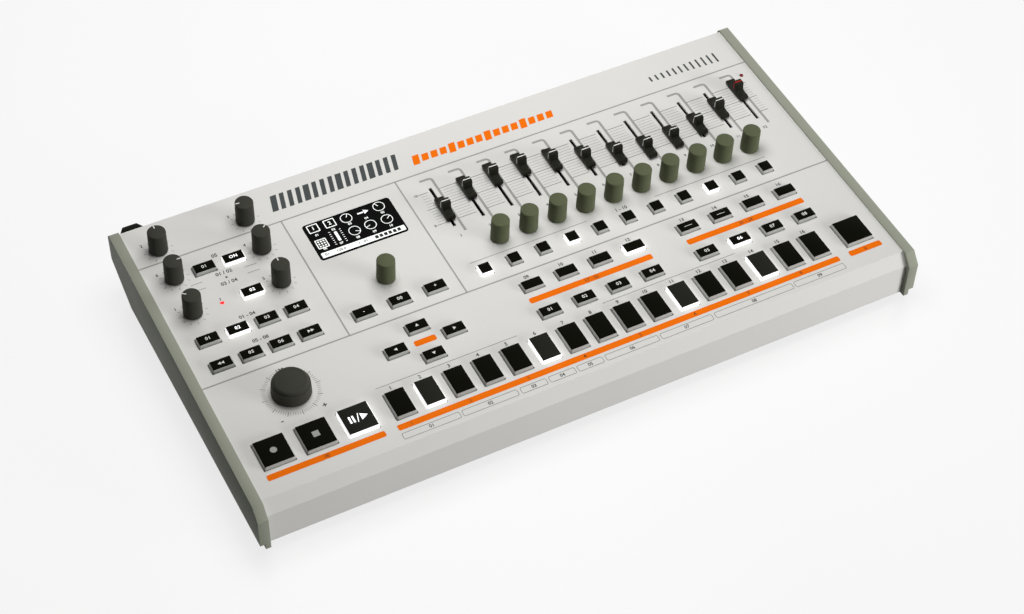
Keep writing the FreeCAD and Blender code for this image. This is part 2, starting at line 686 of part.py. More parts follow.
def pot_bodies():
    cans = []
    bores = []
    collar_height = f"(-case_sheet - flange_gap - {POT_TOP})"
    for name, (u, v, _) in knob_spots().items():
        cans.append(fused(name + "_pot", [
            block(name + "_can", u, v, "-board_drop", "pot_width", "pot_width", "pot_height"),
            rod(name + "_collar", u, v, POT_TOP, "pot_collar_radius", collar_height)]))
        bores.append(rod(name + "_bore", u, v, f"({POT_TOP} - shaft_reach - switch_gap)",
                         "shaft_radius + shaft_running_gap", "board_drop"))
    finish("pot_bodies", on_panel(cut("pot_bodies_solid", group("pot_cans", cans),
                                      group("pot_bores", bores))))


# Sliding controls: a stepped cap on a thin lever, with a carriage that runs in an open channel.
def fader_side():
    half = "(fader_cap_length / 2)"
    grip = "(fader_grip_length / 2)"
    right = [
        (half, "fader_cap_lift"),
        (half, "fader_end_height"),
        (f"({half} - fader_end_slope)", "(fader_end_height + fader_end_slope)"),
        (f"({grip} + fader_grip_slope)", "fader_shoulder_height"),
        (grip, "fader_grip_height"),
    ]
    left = [(f"(0 - {reach})", up) for reach, up in reversed(right)]
    return right + left


def fader(index):
    name = f"level_fader_{index:02d}"
    u = fader_u(index - 1)
    v = f"({along('fader_middle')} + fader_rest_{index:02d})"
    top = body_of(name + "_cap", "YZ_Plane", fader_side(), "fader_cap_width", True)
    place(top, u, v, "0")
    lever = block(name + "_lever", u, v, "fader_cap_lift - lever_height", "lever_width", "lever_length",
                  "lever_height")
    carriage = block(name + "_carriage", u, v, "fader_cap_lift - lever_height", "carriage_width",
                     "carriage_length", "carriage_height")
    finish(name, on_panel(fused(name + "_solid", [top, lever, carriage])))


def fader_bodies():
    channels = []
    hollows = []
    for index in range(FADER_COUNT):
        inner = "(fader_travel + carriage_length + 4 * fader_gap)"
        channels.append(block(f"channel_{index + 1}", fader_u(index), along("fader_middle"), "-board_drop",
                              "carriage_width + 2 * (fader_gap + fader_wall)", "fader_body_length",
                              "fader_body_height"))
        hollows.append(block(f"channel_hollow_{index + 1}", fader_u(index), along("fader_middle"),
                             "-board_drop + fader_wall", "carriage_width + 2 * fader_gap", inner,
                             "fader_body_height"))
    finish("fader_bodies", on_panel(cut("fader_bodies_solid", group("channels", channels),
                                        group("hollows", hollows))))


def display():
    around = "2 * display_module_margin"
    middle = (across("display_middle_u"), along("display_middle_v"))
    module = block("display_can", *middle, "-board_drop", f"display_width + {around}",
                   f"display_length + {around}", "board_drop - case_sheet - flange_gap")
    finish("display_module", on_panel(group("display_module_solid", [module])))
    lens = rounded_block("display_lens", *middle, "-case_sheet", "display_width - 2 * seam_gap",
                         "display_length - 2 * seam_gap", "case_sheet", "display_corner - seam_gap")
    finish("display_window", on_panel(group("display_window_solid", [lens])))


def socket_case(name, x, middle_z, width, height, depth):
    return block(name, x, f"({SOCKET_FACE_Y} - seam_gap - ({depth}) / 2)", f"({middle_z} - ({height}) / 2)",
                 width, depth, height)


def rear_sockets():
    solids = []
    hollows = []
    inside_y = f"({SOCKET_FACE_Y} - seam_gap - case_sheet)"
    mouth_y = f"({REAR_Y} + jack_stand)"
    for index, x in enumerate(sockets_of("jack"), start=1):
        solids.append(fused(f"jack_{index}", [
            socket_case(f"jack_case_{index}", x, JACK_Z, "jack_width", "jack_height", "jack_depth"),
            rod_along(f"jack_bushing_{index}", "rear", x, inside_y, JACK_Z, "jack_bushing_radius",
                      f"{mouth_y} - {inside_y}"),
            rod_along(f"jack_nut_{index}", "rear", x, REAR_Y, JACK_Z, "jack_nut_radius",
                      "jack_nut_thickness")]))
        hollows.append(rod_along(f"jack_bore_{index}", "front", x, mouth_y, JACK_Z, "jack_bore_radius",
                                 "jack_bore_depth"))
    for index, x in enumerate(sockets_of("din"), start=1):
        solids.append(fused(f"din_{index}", [
            socket_case(f"din_case_{index}", x, DIN_Z, "din_width", "din_height", "din_depth"),
            rod_along(f"din_ring_{index}", "rear", x, inside_y, DIN_Z, "din_radius",
                      f"{REAR_Y} - {inside_y}")]))
        hollows.append(rod_along(f"din_recess_{index}", "front", x, REAR_Y, DIN_Z, "din_recess_radius",
                                 "din_recess_depth"))
    usb_x = across("usb_middle")
    solids.append(fused("usb", [
        socket_case("usb_case", usb_x, USB_Z, "usb_width", "usb_height", "usb_depth"),
        block("usb_nose", usb_x, f"({REAR_Y} - case_sheet)", f"({USB_Z} - usb_height / 2)", "usb_width",
              "2 * case_sheet", "usb_height")]))
    hollows.append(block("usb_mouth", usb_x, REAR_Y, f"({USB_Z} - usb_mouth_height / 2)", "usb_mouth_width",
                         "2 * usb_mouth_depth", "usb_mouth_height"))
    inlet_x = across("inlet_middle")
    solids.append(socket_case("inlet", inlet_x, INLET_Z, "inlet_width", "inlet_height", "inlet_depth"))
    hollows.append(rod_along("inlet_bore", "front", inlet_x, REAR_Y, INLET_Z, "inlet_bore_radius",
                             "inlet_bore_depth"))
    rocker_x = across("rocker_middle")
    solids.append(block("rocker_frame", rocker_x, f"({REAR_Y} + seam_gap - rocker_frame_depth / 2)",
                        f"(rocker_height - rocker_length / 2 - {FRAME})", f"rocker_width + 2 * {FRAME}",
                        "rocker_frame_depth", f"rocker_length + 2 * {FRAME}"))
    hollows.append(block("rocker_well", rocker_x, f"({REAR_Y} + seam_gap)",
                         "(rocker_height - rocker_length / 2 - rocker_gap)", "rocker_width + 2 * rocker_gap",
                         "2 * (rocker_frame_depth - rocker_frame_wall)", "rocker_length + 2 * rocker_gap"))
    pin_length = "(rocker_width + 2 * rocker_gap + rocker_frame_wall)"
    pin = rod_along("rocker_pin", "right", f"({rocker_x} - {pin_length} / 2)", ROCKER_Y, "rocker_height",
                    "rocker_pin_radius", pin_length)
    bored = cut("bored_sockets", group("socket_solids", solids), group("socket_hollows", hollows))
    finish("rear_sockets", fused("rear_sockets_solid", [bored, pin]))


def power_rocker():
    """A rocker tipped to its off side, turning on the pin across its frame."""
    paddle = doc.addObject("Part::Box", "rocker_paddle")
    bind(paddle, {"Length": "rocker_width", "Width": "rocker_thickness", "Height": "rocker_length"})
    place(paddle, "-rocker_width / 2", "rocker_stand", "-rocker_length / 2")
    web = doc.addObject("Part::Box", "rocker_web")
    bind(web, {"Length": "rocker_width", "Width": "rocker_stand + rocker_thickness",
               "Height": "2 * rocker_hub_radius"})
    place(web, "-rocker_width / 2", "0", "-rocker_hub_radius")
    hub = rod_along("rocker_hub", "right", "-rocker_width / 2", "0", "0", "rocker_hub_radius", "rocker_width")
    hole = rod_along("rocker_pin_hole", "right", "-rocker_width", "0", "0",
                     "rocker_pin_radius + shaft_running_gap", "2 * rocker_width")
    rocker = cut("power_rocker_solid", fused("rocker_blank", [paddle, web, hub]), hole)
    rocker.Placement = FreeCAD.Placement(FreeCAD.Vector(), FreeCAD.Rotation(FreeCAD.Vector(1, 0, 0), 1))
    bind(rocker, {"Placement.Rotation.Angle": "rocker_tilt * 1 deg"})
    place(rocker, across("rocker_middle"), ROCKER_Y, "rocker_height")
    finish("power_rocker", rocker)


def cord_hook():
    """A moulded hook behind the rear edge: a tapering roof with a lip that hangs from its end."""
    base = "(hook_base_width / 2)"
    end = "(hook_end_width / 2)"
    outer = [(f"-{base}", "0"), (base, "0"), (end, "hook_reach"), (f"-{end}", "hook_reach")]
    hood = body_of("hook_hood", "XY_Plane", outer, "hook_height")
    place(hood, f"({base} - {INNER_HALF})", REAR_Y, f"({REAR_Z} - hook_drop - hook_height)")
    gap = block("hook_gap", f"({base} - {INNER_HALF})", f"({REAR_Y} + (hook_reach - hook_lip) / 2)",
                f"({REAR_Z} - hook_drop - hook_height - hook_roof)", "2 * hook_base_width",
                "(hook_reach - hook_lip)", "hook_height")
    finish("cord_hook", cut("cord_hook_solid", hood, gap))


def rubber_feet():
    feet = []
    for side in (-1, 1):
        for end in (-1, 1):
            x = f"{side} * (overall_width / 2 - foot_side_inset)"
            y = f"{end} * (overall_depth / 2 - foot_end_inset)"
            feet.append(rod(f"foot_{len(feet) + 1}", x, y, "0", "foot_radius", "case_clearance"))
    finish("rubber_feet", group("rubber_feet_solid", feet))


def case_screws():
    """Pan-head screws: under the board standoffs, through the side flanges and round the rear panel."""
    screws = []
    for index, (x, y) in enumerate(board_screw_places(), start=1):
        screws.append(fused(f"bottom_screw_{index}", [
            rod(f"bottom_head_{index}", x, y, "case_clearance - screw_head_height", "screw_head_radius",
                "screw_head_height"),
            rod(f"bottom_shank_{index}", x, y, "case_clearance", "screw_radius",
                f"{MAIN_BOARD_TOP} - case_clearance")]))
    for index, (x, z) in enumerate(rear_screw_places(), start=1):
        screws.append(fused(f"rear_screw_{index}", [
            rod_along(f"rear_head_{index}", "rear", x, REAR_Y, z, "screw_head_radius", "screw_head_height"),
            rod_along(f"rear_shank_{index}", "front", x, REAR_Y, z, "screw_radius", "screw_grip")]))
    for side in (-1, 1):
        for index, y in enumerate(side_screw_places(), start=1):
            inner_x = f"{side} * ({INNER_HALF} - plate_sheet)"
            tag = f"{index}_{'right' if side > 0 else 'left'}"
            outward, inward = ("right", "left") if side > 0 else ("left", "right")
            screws.append(fused(f"side_screw_{tag}", [
                rod_along(f"side_head_{tag}", inward, inner_x, y, "side_screw_height", "screw_head_radius",
                          "screw_head_height"),
                rod_along(f"side_shank_{tag}", outward, inner_x, y, "side_screw_height", "screw_radius",
                          "plate_sheet + screw_grip")]))
    finish("case_screws", group("case_screws_solid", screws))


top_case()
bottom_plate()
rear_panel()
cheek("left_cheek", -1)
cheek("right_cheek", 1)
boards()
key_switches()
pot_bodies()
fader_bodies()
display()
rear_sockets()
power_rocker()
cord_hook()
rubber_feet()
case_screws()
for bank_name in dict.fromkeys(row[0] for row in BUTTON_ROWS.values()):
    button_bank(bank_name)
for knob_name, (knob_u, knob_v, knob_kind) in knob_spots().items():
    knob(knob_name, knob_u, knob_v, knob_kind)
for fader_index in range(1, FADER_COUNT + 1):
    fader(fader_index)

doc.recompute()
for thing in doc.Objects:
    if {"Invalid", "Error"} & set(thing.State):
        raise RuntimeError(f"{thing.Name} did not build: {thing.State}")
os.makedirs("parts", exist_ok=True)
for node_name, thing in nodes.items():
    if thing.Shape.isNull() or not thing.Shape.isValid():
        raise RuntimeError(f"{node_name} has no valid shape")
    thing.Shape.exportStep(f"parts/{node_name}.step")
    print(node_name, len(thing.Shape.Solids), round(thing.Shape.Volume, 1))
print(len(nodes), "nodes")
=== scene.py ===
import json
import math

import bpy
from mathutils import Matrix, Vector

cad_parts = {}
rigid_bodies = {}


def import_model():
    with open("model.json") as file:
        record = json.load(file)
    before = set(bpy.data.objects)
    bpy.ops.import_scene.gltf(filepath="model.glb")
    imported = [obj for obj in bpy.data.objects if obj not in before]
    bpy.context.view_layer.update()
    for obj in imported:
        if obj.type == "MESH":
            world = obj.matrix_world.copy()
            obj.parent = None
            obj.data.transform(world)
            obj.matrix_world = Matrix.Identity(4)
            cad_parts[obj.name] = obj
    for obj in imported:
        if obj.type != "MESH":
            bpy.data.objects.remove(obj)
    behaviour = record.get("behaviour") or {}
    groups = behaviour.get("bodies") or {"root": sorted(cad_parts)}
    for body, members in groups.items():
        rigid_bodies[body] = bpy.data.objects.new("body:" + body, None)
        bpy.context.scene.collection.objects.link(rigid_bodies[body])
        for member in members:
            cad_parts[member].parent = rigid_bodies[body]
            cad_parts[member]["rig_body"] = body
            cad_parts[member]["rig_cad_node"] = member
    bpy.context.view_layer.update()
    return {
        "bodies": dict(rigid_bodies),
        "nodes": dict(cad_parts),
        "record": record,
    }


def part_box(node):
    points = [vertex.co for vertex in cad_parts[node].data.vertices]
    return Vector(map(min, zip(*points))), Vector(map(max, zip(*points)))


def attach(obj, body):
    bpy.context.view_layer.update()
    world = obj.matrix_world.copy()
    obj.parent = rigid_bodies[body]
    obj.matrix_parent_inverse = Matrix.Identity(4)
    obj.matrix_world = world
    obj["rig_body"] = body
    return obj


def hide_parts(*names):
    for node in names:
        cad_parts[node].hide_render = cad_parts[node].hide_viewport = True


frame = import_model()
bpy.ops.object.select_all(action="DESELECT")

# The panel's own frame, in millimetres: u to the right from the middle, v up the slope from the front
# fold and w square to the panel's face. The rear frame's x runs to the left of a player, y up, z out.
MM = 0.001
PANEL_DEPTH = 247.9
CAP_RISE = 3.0
SKIRT_MARGIN = 0.9
FLANGE_MARGIN = 0.9
FRAME_FOOT = 0.8
PRINT_LIFT = 0.015
PRINT_THICKNESS = 0.03
STROKE_GAIN = 0.022
WELD = 0.001
SMOOTH_ANGLE = math.radians(35)

joints = {joint["name"]: joint for joint in frame["record"]["behaviour"]["joints"]}
mounts = {mount["name"]: mount for mount in frame["record"]["mounts"]}
RIGHT = Vector((1, 0, 0))
UP = Vector(joints["level_fader_01_slide"]["axis"])
OUT = Vector(joints["main_volume_knob_turn"]["axis"])
case_low, case_high = (Vector(corner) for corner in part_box("top_case"))
FOLD = Vector((0, case_high.y, case_high.z)) - UP * PANEL_DEPTH * MM


def basis(x, y, z, origin):
    """A frame in millimetres from its three directions and its origin."""
    turned = Matrix((x, y, z)).transposed().to_4x4()
    return Matrix.Translation(origin) @ turned @ Matrix.Scale(MM, 4)


PANEL = basis(RIGHT, UP, OUT, FOLD)
REAR = basis(-RIGHT, Vector((0, 0, 1)), Vector((0, 1, 0)), Vector((0, case_high.y, 0)))
WORLD = Matrix.Scale(MM, 4)


def on_panel(point):
    """A point of the part's frame, in the panel's millimetres."""
    return PANEL.inverted() @ Vector(point)


# Selecting and finishing pieces.
def alone(piece):
    """Select one piece and nothing else."""
    bpy.ops.object.select_all(action="DESELECT")
    piece.select_set(True)
    bpy.context.view_layer.objects.active = piece


def pick(piece, kind, test):
    """Open a piece for editing with the faces, edges or corners selected whose middles pass a test."""
    alone(piece)
    bpy.ops.object.mode_set(mode="EDIT")
    bpy.ops.mesh.select_mode(type=kind)
    bpy.ops.mesh.select_all(action="DESELECT")
    bpy.ops.object.mode_set(mode="OBJECT")
    mesh = piece.data
    spots = [corner.co for corner in mesh.vertices]
    if kind == "VERT":
        for corner in mesh.vertices:
            corner.select = test(corner.co)
    if kind == "EDGE":
        for edge in mesh.edges:
            edge.select = test((spots[edge.vertices[0]] + spots[edge.vertices[1]]) / 2)
    if kind == "FACE":
        for face in mesh.polygons:
            face.select = test(face.center)
    bpy.ops.object.mode_set(mode="EDIT")


def done():
    """Leave edit mode."""
    bpy.ops.object.mode_set(mode="OBJECT")


def near(value, target, slack=0.01):
    """Whether a value lies at its target."""
    return abs(value - target) < slack


def cube(u, v, low, width, length, height):
    """A block centred on a place, standing on its lowest height, with its place in its mesh."""
    bpy.ops.mesh.primitive_cube_add(size=1, location=(u, v, low + height / 2),
                                    scale=(width, length, height))
    bpy.ops.object.transform_apply(location=True, rotation=True, scale=True)
    return bpy.context.object


def post(u, v, low, radius, height, sides=48):
    """An upright round bar with its place in its mesh."""
    bpy.ops.mesh.primitive_cylinder_add(vertices=sides, radius=radius, depth=height,
                                        location=(u, v, low + height / 2))
    bpy.ops.object.transform_apply(location=True, rotation=True, scale=True)
    return bpy.context.object


def bevel(piece, width, segments=2, angle=30):
    """Ease every edge of a piece that is sharper than an angle."""
    alone(piece)
    bpy.ops.object.modifier_add(type="BEVEL")
    edge = piece.modifiers[-1]
    edge.width = width
    edge.segments = segments
    edge.limit_method = "ANGLE"
    edge.angle_limit = math.radians(angle)
    bpy.ops.object.modifier_apply(modifier=edge.name)
    return piece


def copy_at(model, u=0.0, v=0.0):
    """A copy of a model with its own mesh, moved to a place."""
    twin = model.copy()
    twin.data = model.data.copy()
    bpy.context.collection.objects.link(twin)
    twin.matrix_world = Matrix.Translation((u, v, 0)) @ model.matrix_world
    return twin


def joined(pieces):
    """Pieces joined into the first of them."""
    bpy.ops.object.select_all(action="DESELECT")
    for piece in pieces:
        piece.select_set(True)
    bpy.context.view_layer.objects.active = pieces[0]
    if len(pieces) > 1:
        bpy.ops.object.join()
    bpy.ops.object.transform_apply(location=True, rotation=True, scale=True)
    return bpy.context.object


def carve(piece, tool):
    """Cut a tool's form out of a piece, and drop the tool."""
    alone(piece)
    bpy.ops.object.modifier_add(type="BOOLEAN")
    cutter = piece.modifiers[-1]
    cutter.operation = "DIFFERENCE"
    cutter.solver = "EXACT"
    cutter.object = tool
    bpy.ops.object.modifier_apply(modifier=cutter.name)
    drop(tool)
    return piece


def drop(*models):
    """Delete models that were only there to be copied."""
    for model in models:
        bpy.data.objects.remove(model, do_unlink=True)


def settle(piece, name, finish, body, nodes=(), place=PANEL):
    """Lay a finished piece in its frame, give it its material and let it ride on its body."""
    alone(piece)
    piece.name = name
    piece.data.name = name
    piece.matrix_world = place @ piece.matrix_world
    bpy.ops.object.transform_apply(location=True, rotation=True, scale=True)
    bpy.ops.object.shade_smooth_by_angle(angle=SMOOTH_ANGLE)
    piece.data.materials.clear()
    piece.data.materials.append(FINISHES[finish])
    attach(piece, body)
    if nodes:
        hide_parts(*nodes)
    return piece


# Shader sums: a wire is a socket of a material, and sums on wires add Math nodes.
class Wire:
    def __init__(self, wiring, socket):
        self.wiring = wiring
        self.socket = socket

    def sum(self, operation, *others):
        return self.wiring.node("ShaderNodeMath", {"operation": operation}, *others)

    def __add__(self, other):
        return self.sum("ADD", self, other)

    def __mul__(self, other):
        return self.sum("MULTIPLY", self, other)

    def __gt__(self, other):
        return self.sum("GREATER_THAN", self, other)

    def __or__(self, other):
        return self.sum("MAXIMUM", self, other)

    __radd__ = __add__
    __rmul__ = __mul__


class Wiring:
    """A node tree, with a method that adds any node."""

    def __init__(self, tree):
        self.tree = tree

    def node(self, kind, settings=None, *values, **named):
        """Any node, from its settings and then the values or wires of its sockets."""
        made = self.tree.nodes.new(kind)
        for word, setting in (settings or {}).items():
            setattr(made, word, setting)
        for place, value in enumerate(values):
            self.feed(made.inputs[place], value)
        for word, value in named.items():
            self.feed(made.inputs[word.replace("_", " ")], value)
        return Wire(self, made.outputs[0])

    def feed(self, socket, value):
        """Set a socket, or link a wire to it."""
        if isinstance(value, Wire):
            self.tree.links.new(value.socket, socket)
        else:
            socket.default_value = value

    def shown_rays(self):
        """One for the rays that show a backdrop: straight, mirrored or through glass."""
        rays = self.tree.nodes.new("ShaderNodeLightPath")
        straight, mirrored, passed = (Wire(self, rays.outputs[f"Is {kind} Ray"])
                                      for kind in ("Camera", "Glossy", "Transmission"))
        return straight | mirrored | passed


class Recipe(Wiring):
    """One node material with its Principled shader."""

    def __init__(self, name, **constants):
        self.material = bpy.data.materials.new(name)
        self.material.use_nodes = True
        super().__init__(self.material.node_tree)
        self.shader = self.tree.nodes["Principled BSDF"]
        self.into(**constants)

    def into(self, **named):
        """Feed the shader's own sockets."""
        for word, value in named.items():
            self.feed(self.shader.inputs[word.replace("_", " ")], value)

    def place(self):
        """Where a point lies on the object, in metres."""
        coordinates = self.tree.nodes.new("ShaderNodeTexCoord")
        return Wire(self, coordinates.outputs["Object"])

    def noise(self, scale, detail=3.0, roughness=0.5):
        """Noise between nought and one, with so many lumps to the metre."""
        return self.node("ShaderNodeTexNoise", None, Vector=self.place(), Scale=scale, Detail=detail,
                         Roughness=roughness)

    def blend(self, factor, first, second):
        """One colour giving way to another."""
        made = self.tree.nodes.new("ShaderNodeMix")
        made.data_type = "RGBA"
        self.feed(made.inputs["Factor"], factor)
        self.feed(made.inputs[6], first)
        self.feed(made.inputs[7], second)
        return Wire(self, made.outputs[2])

    def bump(self, height, strength, distance):
        bumped = self.node("ShaderNodeBump", None, Height=height, Strength=strength, Distance=distance)
        self.into(Normal=bumped)


def shade(red, green, blue):
    """A colour of the screen, from 0 to 255, as linear light."""
    def linear(part):
        part /= 255
        return part / 12.92 if part <= 0.04045 else ((part + 0.055) / 1.055) ** 2.4
    return (linear(red), linear(green), linear(blue), 1.0)


def moulded(name, colour, worn, roughness, grain=2600.0, depth=0.00004, gloss=0.25):
    """Moulded plastic: a fine spark-eroded grain, and patches a little paler from handling."""
    recipe = Recipe(name, Specular_IOR_Level=gloss)
    patches = recipe.noise(45.0, 4.0)
    fine = recipe.noise(grain, 2.0, 0.6)
    recipe.into(Base_Color=recipe.blend(patches * 0.6 + fine * 0.3, shade(*colour), shade(*worn)),
                Roughness=patches * 0.12 + fine * 0.08 + (roughness - 0.1))
    recipe.bump(fine, 0.35, depth)
    return recipe.material


def painted(name, colour, second, roughness, grain=1500.0, depth=0.00003):
    """Powder coat on sheet metal: a faint orange peel, fine specks and slow changes of tone."""
    recipe = Recipe(name, Specular_IOR_Level=0.4)
    slow = recipe.noise(9.0, 2.0)
    peel = recipe.noise(grain, 2.0, 0.55)
    specks = recipe.noise(5200.0, 1.0)
    recipe.into(Base_Color=recipe.blend(slow * 0.7 + specks * 0.3, shade(*colour), shade(*second)),
                Roughness=peel * 0.1 + slow * 0.06 + (roughness - 0.08))
    recipe.bump(peel * 0.7 + specks * 0.3, 0.25, depth)
    return recipe.material


def polished(name, colour, second, roughness, gloss=0.15):
    """Smooth glossy plastic with faint wipe marks and dust."""
    recipe = Recipe(name, Specular_IOR_Level=gloss)
    wipes = recipe.noise(120.0, 5.0, 0.7)
    dust = recipe.noise(3800.0, 1.0)
    marks = (dust > 0.74) * 0.3 + wipes * 0.25
    recipe.into(Base_Color=recipe.blend(marks, shade(*colour), shade(*second)),
                Roughness=wipes * 0.16 + (roughness - 0.06))
    return recipe.material


def glowing(name, colour, strength, edge):
    """Clear plastic lit from inside, a little uneven where its lamp stands."""
    recipe = Recipe(name, Roughness=0.35, Emission_Strength=strength)
    cloud = recipe.noise(160.0, 2.0)
    tint = recipe.blend(cloud * 0.5, shade(*colour), shade(*edge))
    recipe.into(Base_Color=tint, Emission_Color=tint, Roughness=cloud * 0.1 + 0.3)
    return recipe.material


def printed(name, colour, second):
    """Screen-printed ink: slightly uneven in tone and sheen."""
    recipe = Recipe(name, Specular_IOR_Level=0.15)
    mottle = recipe.noise(900.0, 3.0)
    recipe.into(Base_Color=recipe.blend(mottle, shade(*colour), shade(*second)),
                Roughness=mottle * 0.15 + 0.4)
    recipe.bump(mottle, 0.1, 0.00001)
    return recipe.material


def metallic(name, colour, second, roughness, grain=700.0):
    """Plated or bare metal with fine scratches along its length."""
    recipe = Recipe(name, Metallic=1.0)
    stretched = recipe.node("ShaderNodeMapping", None, Vector=recipe.place(), Scale=(1.0, 12.0, 1.0))
    scratches = recipe.node("ShaderNodeTexNoise", None, Vector=stretched, Scale=grain, Detail=3.0)
    stains = recipe.noise(60.0, 4.0)
    recipe.into(Base_Color=recipe.blend(stains, shade(*colour), shade(*second)),
                Roughness=scratches * 0.2 + stains * 0.1 + (roughness - 0.12))
    recipe.bump(scratches, 0.15, 0.00001)
    return recipe.material


def board(name):
    """Solder mask over copper: broad tracks a shade lighter than the ground."""
    recipe = Recipe(name, Roughness=0.35, Coat_Weight=0.4)
    tracks = recipe.node("ShaderNodeTexBrick", {"offset": 0.5}, Vector=recipe.place(),
                         Color1=shade(18, 74, 44), Color2=shade(22, 84, 50), Mortar=shade(34, 108, 66),
                         Scale=90.0, Mortar_Size=0.04)
    weave = recipe.noise(1400.0, 2.0)
    recipe.into(Base_Color=recipe.blend(weave * 0.3, tracks, shade(12, 58, 34)),
                Roughness=weave * 0.2 + 0.25)
    return recipe.material


FINISHES = {
    "case_paint": painted("light_grey_paint", (217, 216, 212), (209, 208, 204), 0.45),
    "plate_paint": painted("dark_grey_paint", (66, 66, 64), (58, 58, 56), 0.55),
    "rear_paint": painted("black_paint", (40, 40, 39), (34, 34, 33), 0.5),
    "cheek_plastic": moulded("grey_green_plastic", (144, 147, 133), (152, 155, 141), 0.55, 1800.0,
                             0.00006, 0.08),
    "circuit_board": board("solder_mask"),
    "switch_plastic": moulded("switch_black", (30, 30, 30), (38, 38, 38), 0.5),
    "pot_metal": metallic("zinc_plate", (170, 170, 168), (150, 150, 147), 0.35),
    "fader_steel": metallic("bright_steel", (150, 150, 150), (130, 130, 130), 0.4),
    "display_can": moulded("module_black", (22, 22, 22), (28, 28, 28), 0.5),
    "display_glass": polished("display_black", (10, 10, 10), (16, 16, 16), 0.2, 0.03),
    "socket_plastic": moulded("socket_black", (26, 26, 26), (34, 34, 34), 0.5),
    "socket_metal": metallic("nickel_plate", (190, 188, 184), (165, 163, 160), 0.28),
    "hook_plastic": moulded("hook_black", (14, 14, 9), (22, 22, 16), 0.5, gloss=0.04),
    "foot_rubber": moulded("rubber_black", (26, 26, 26), (36, 36, 35), 0.75, 1300.0, 0.00008),
    "screw_steel": metallic("blackened_steel", (44, 44, 44), (60, 60, 58), 0.45),
    "rocker_plastic": moulded("rocker_black", (20, 20, 20), (28, 28, 28), 0.4),
    "button_cap": polished("cap_black", (10, 10, 5), (17, 17, 11), 0.34, 0.02),
    "button_skirt": polished("frosted_clear", (168, 169, 165), (180, 181, 177), 0.35, 0.2),
    "button_glow": glowing("lit_white", (238, 238, 238), 0.85, (228, 228, 228)),
    "dark_knob": moulded("knob_black", (55, 55, 49), (63, 63, 57), 0.5, 2200.0, 0.00004, 0.04),
    "green_knob": moulded("knob_green", (82, 87, 65), (89, 94, 72), 0.52, 2200.0, 0.00004, 0.04),
    "fader_cap": moulded("fader_black", (26, 26, 20), (36, 36, 30), 0.36, 2200.0, 0.00002, 0.08),
    "white_mark": printed("white_ink", (228, 228, 224), (214, 214, 210)),
    "red_mark": printed("red_ink", (196, 28, 22), (170, 24, 20)),
    "grey_print": printed("grey_ink", (62, 66, 66), (72, 76, 76)),
    "pale_print": printed("pale_grey_ink", (150, 150, 146), (160, 160, 156)),
    "orange_print": printed("orange_ink", (238, 112, 4), (230, 107, 4)),
    # Lit caps: the same black plastic as the other caps; their paler grey is painted glow from the lamp
    # inside.
    "lit_cap": polished("lit_cap_painted_glow", (32, 33, 28), (38, 39, 34), 0.3, 0.03),
    "screen_mark": glowing("screen_white", (235, 238, 235), 0.5, (215, 220, 216)),
    "red_lamp": glowing("lamp_red", (255, 40, 40), 0.9, (230, 20, 20)),
    "dark_lamp": polished("lamp_off", (110, 6, 8), (84, 4, 6), 0.2, 0.5),
}


def dress(node, finish):
    """Give a CAD node that stays its material."""
    materials = frame["nodes"][node].data.materials
    materials.clear()
    materials.append(FINISHES[finish])


for part in frame["record"]["subparts"]:
    dress(part["node"], part["material_slot"])

# Plain forms that the pieces are made from, in the millimetres of their frame.
BLANK = cube(0, 0, 0, 1, 1, 1)
BLANK.name = "blank"


def bar(u, v, low, width, length, height, corner=0.0, turn=0.0):
    """A flat-topped bar, with round upright corners if it has a corner radius."""
    piece = copy_at(BLANK)
    piece.data.transform(Matrix.Translation((0, 0, low)) @ Matrix.Diagonal((width, length, height, 1)))
    if corner:
        pick(piece, "EDGE",
             lambda middle: near(abs(middle.x), width / 2) and near(abs(middle.y), length / 2))
        bpy.ops.mesh.bevel(offset=corner, segments=5, affect="EDGES")
        done()
    piece.matrix_world = Matrix.Translation((u, v, 0)) @ Matrix.Rotation(turn, 4, "Z")
    return piece


def slanted(u, v, width, length, lean):
    """A flat bar whose far end is moved across, so that it leans."""
    piece = bar(0, 0, PRINT_LIFT, width, length, PRINT_THICKNESS)
    shift = length * math.tan(lean) / 2
    for corner in piece.data.vertices:
        corner.co.x += shift if corner.co.y > 0 else -shift
    piece.matrix_world = Matrix.Translation((u, v, 0))
    return piece


def hoop(u, v, low, width, length, height, corner, line):
    """A flat line drawn round a rectangle with round corners."""
    bpy.ops.mesh.primitive_plane_add(size=1)
    piece = bpy.context.object
    piece.scale = (width, length, 1)
    bpy.ops.object.transform_apply(location=True, rotation=True, scale=True)
    bpy.ops.object.mode_set(mode="EDIT")
    bpy.ops.mesh.select_all(action="SELECT")
    bpy.ops.mesh.bevel(offset=corner, segments=4, affect="VERTICES")
    bpy.ops.mesh.inset(thickness=line)
    bpy.ops.mesh.delete(type="FACE")
    bpy.ops.mesh.select_all(action="SELECT")
    bpy.ops.mesh.extrude_region_move(TRANSFORM_OT_translate={"value": (0, 0, height)})
    bpy.ops.mesh.select_all(action="SELECT")
    bpy.ops.mesh.normals_make_consistent(inside=False)
    done()
    piece.matrix_world = Matrix.Translation((u, v, low))
    return piece


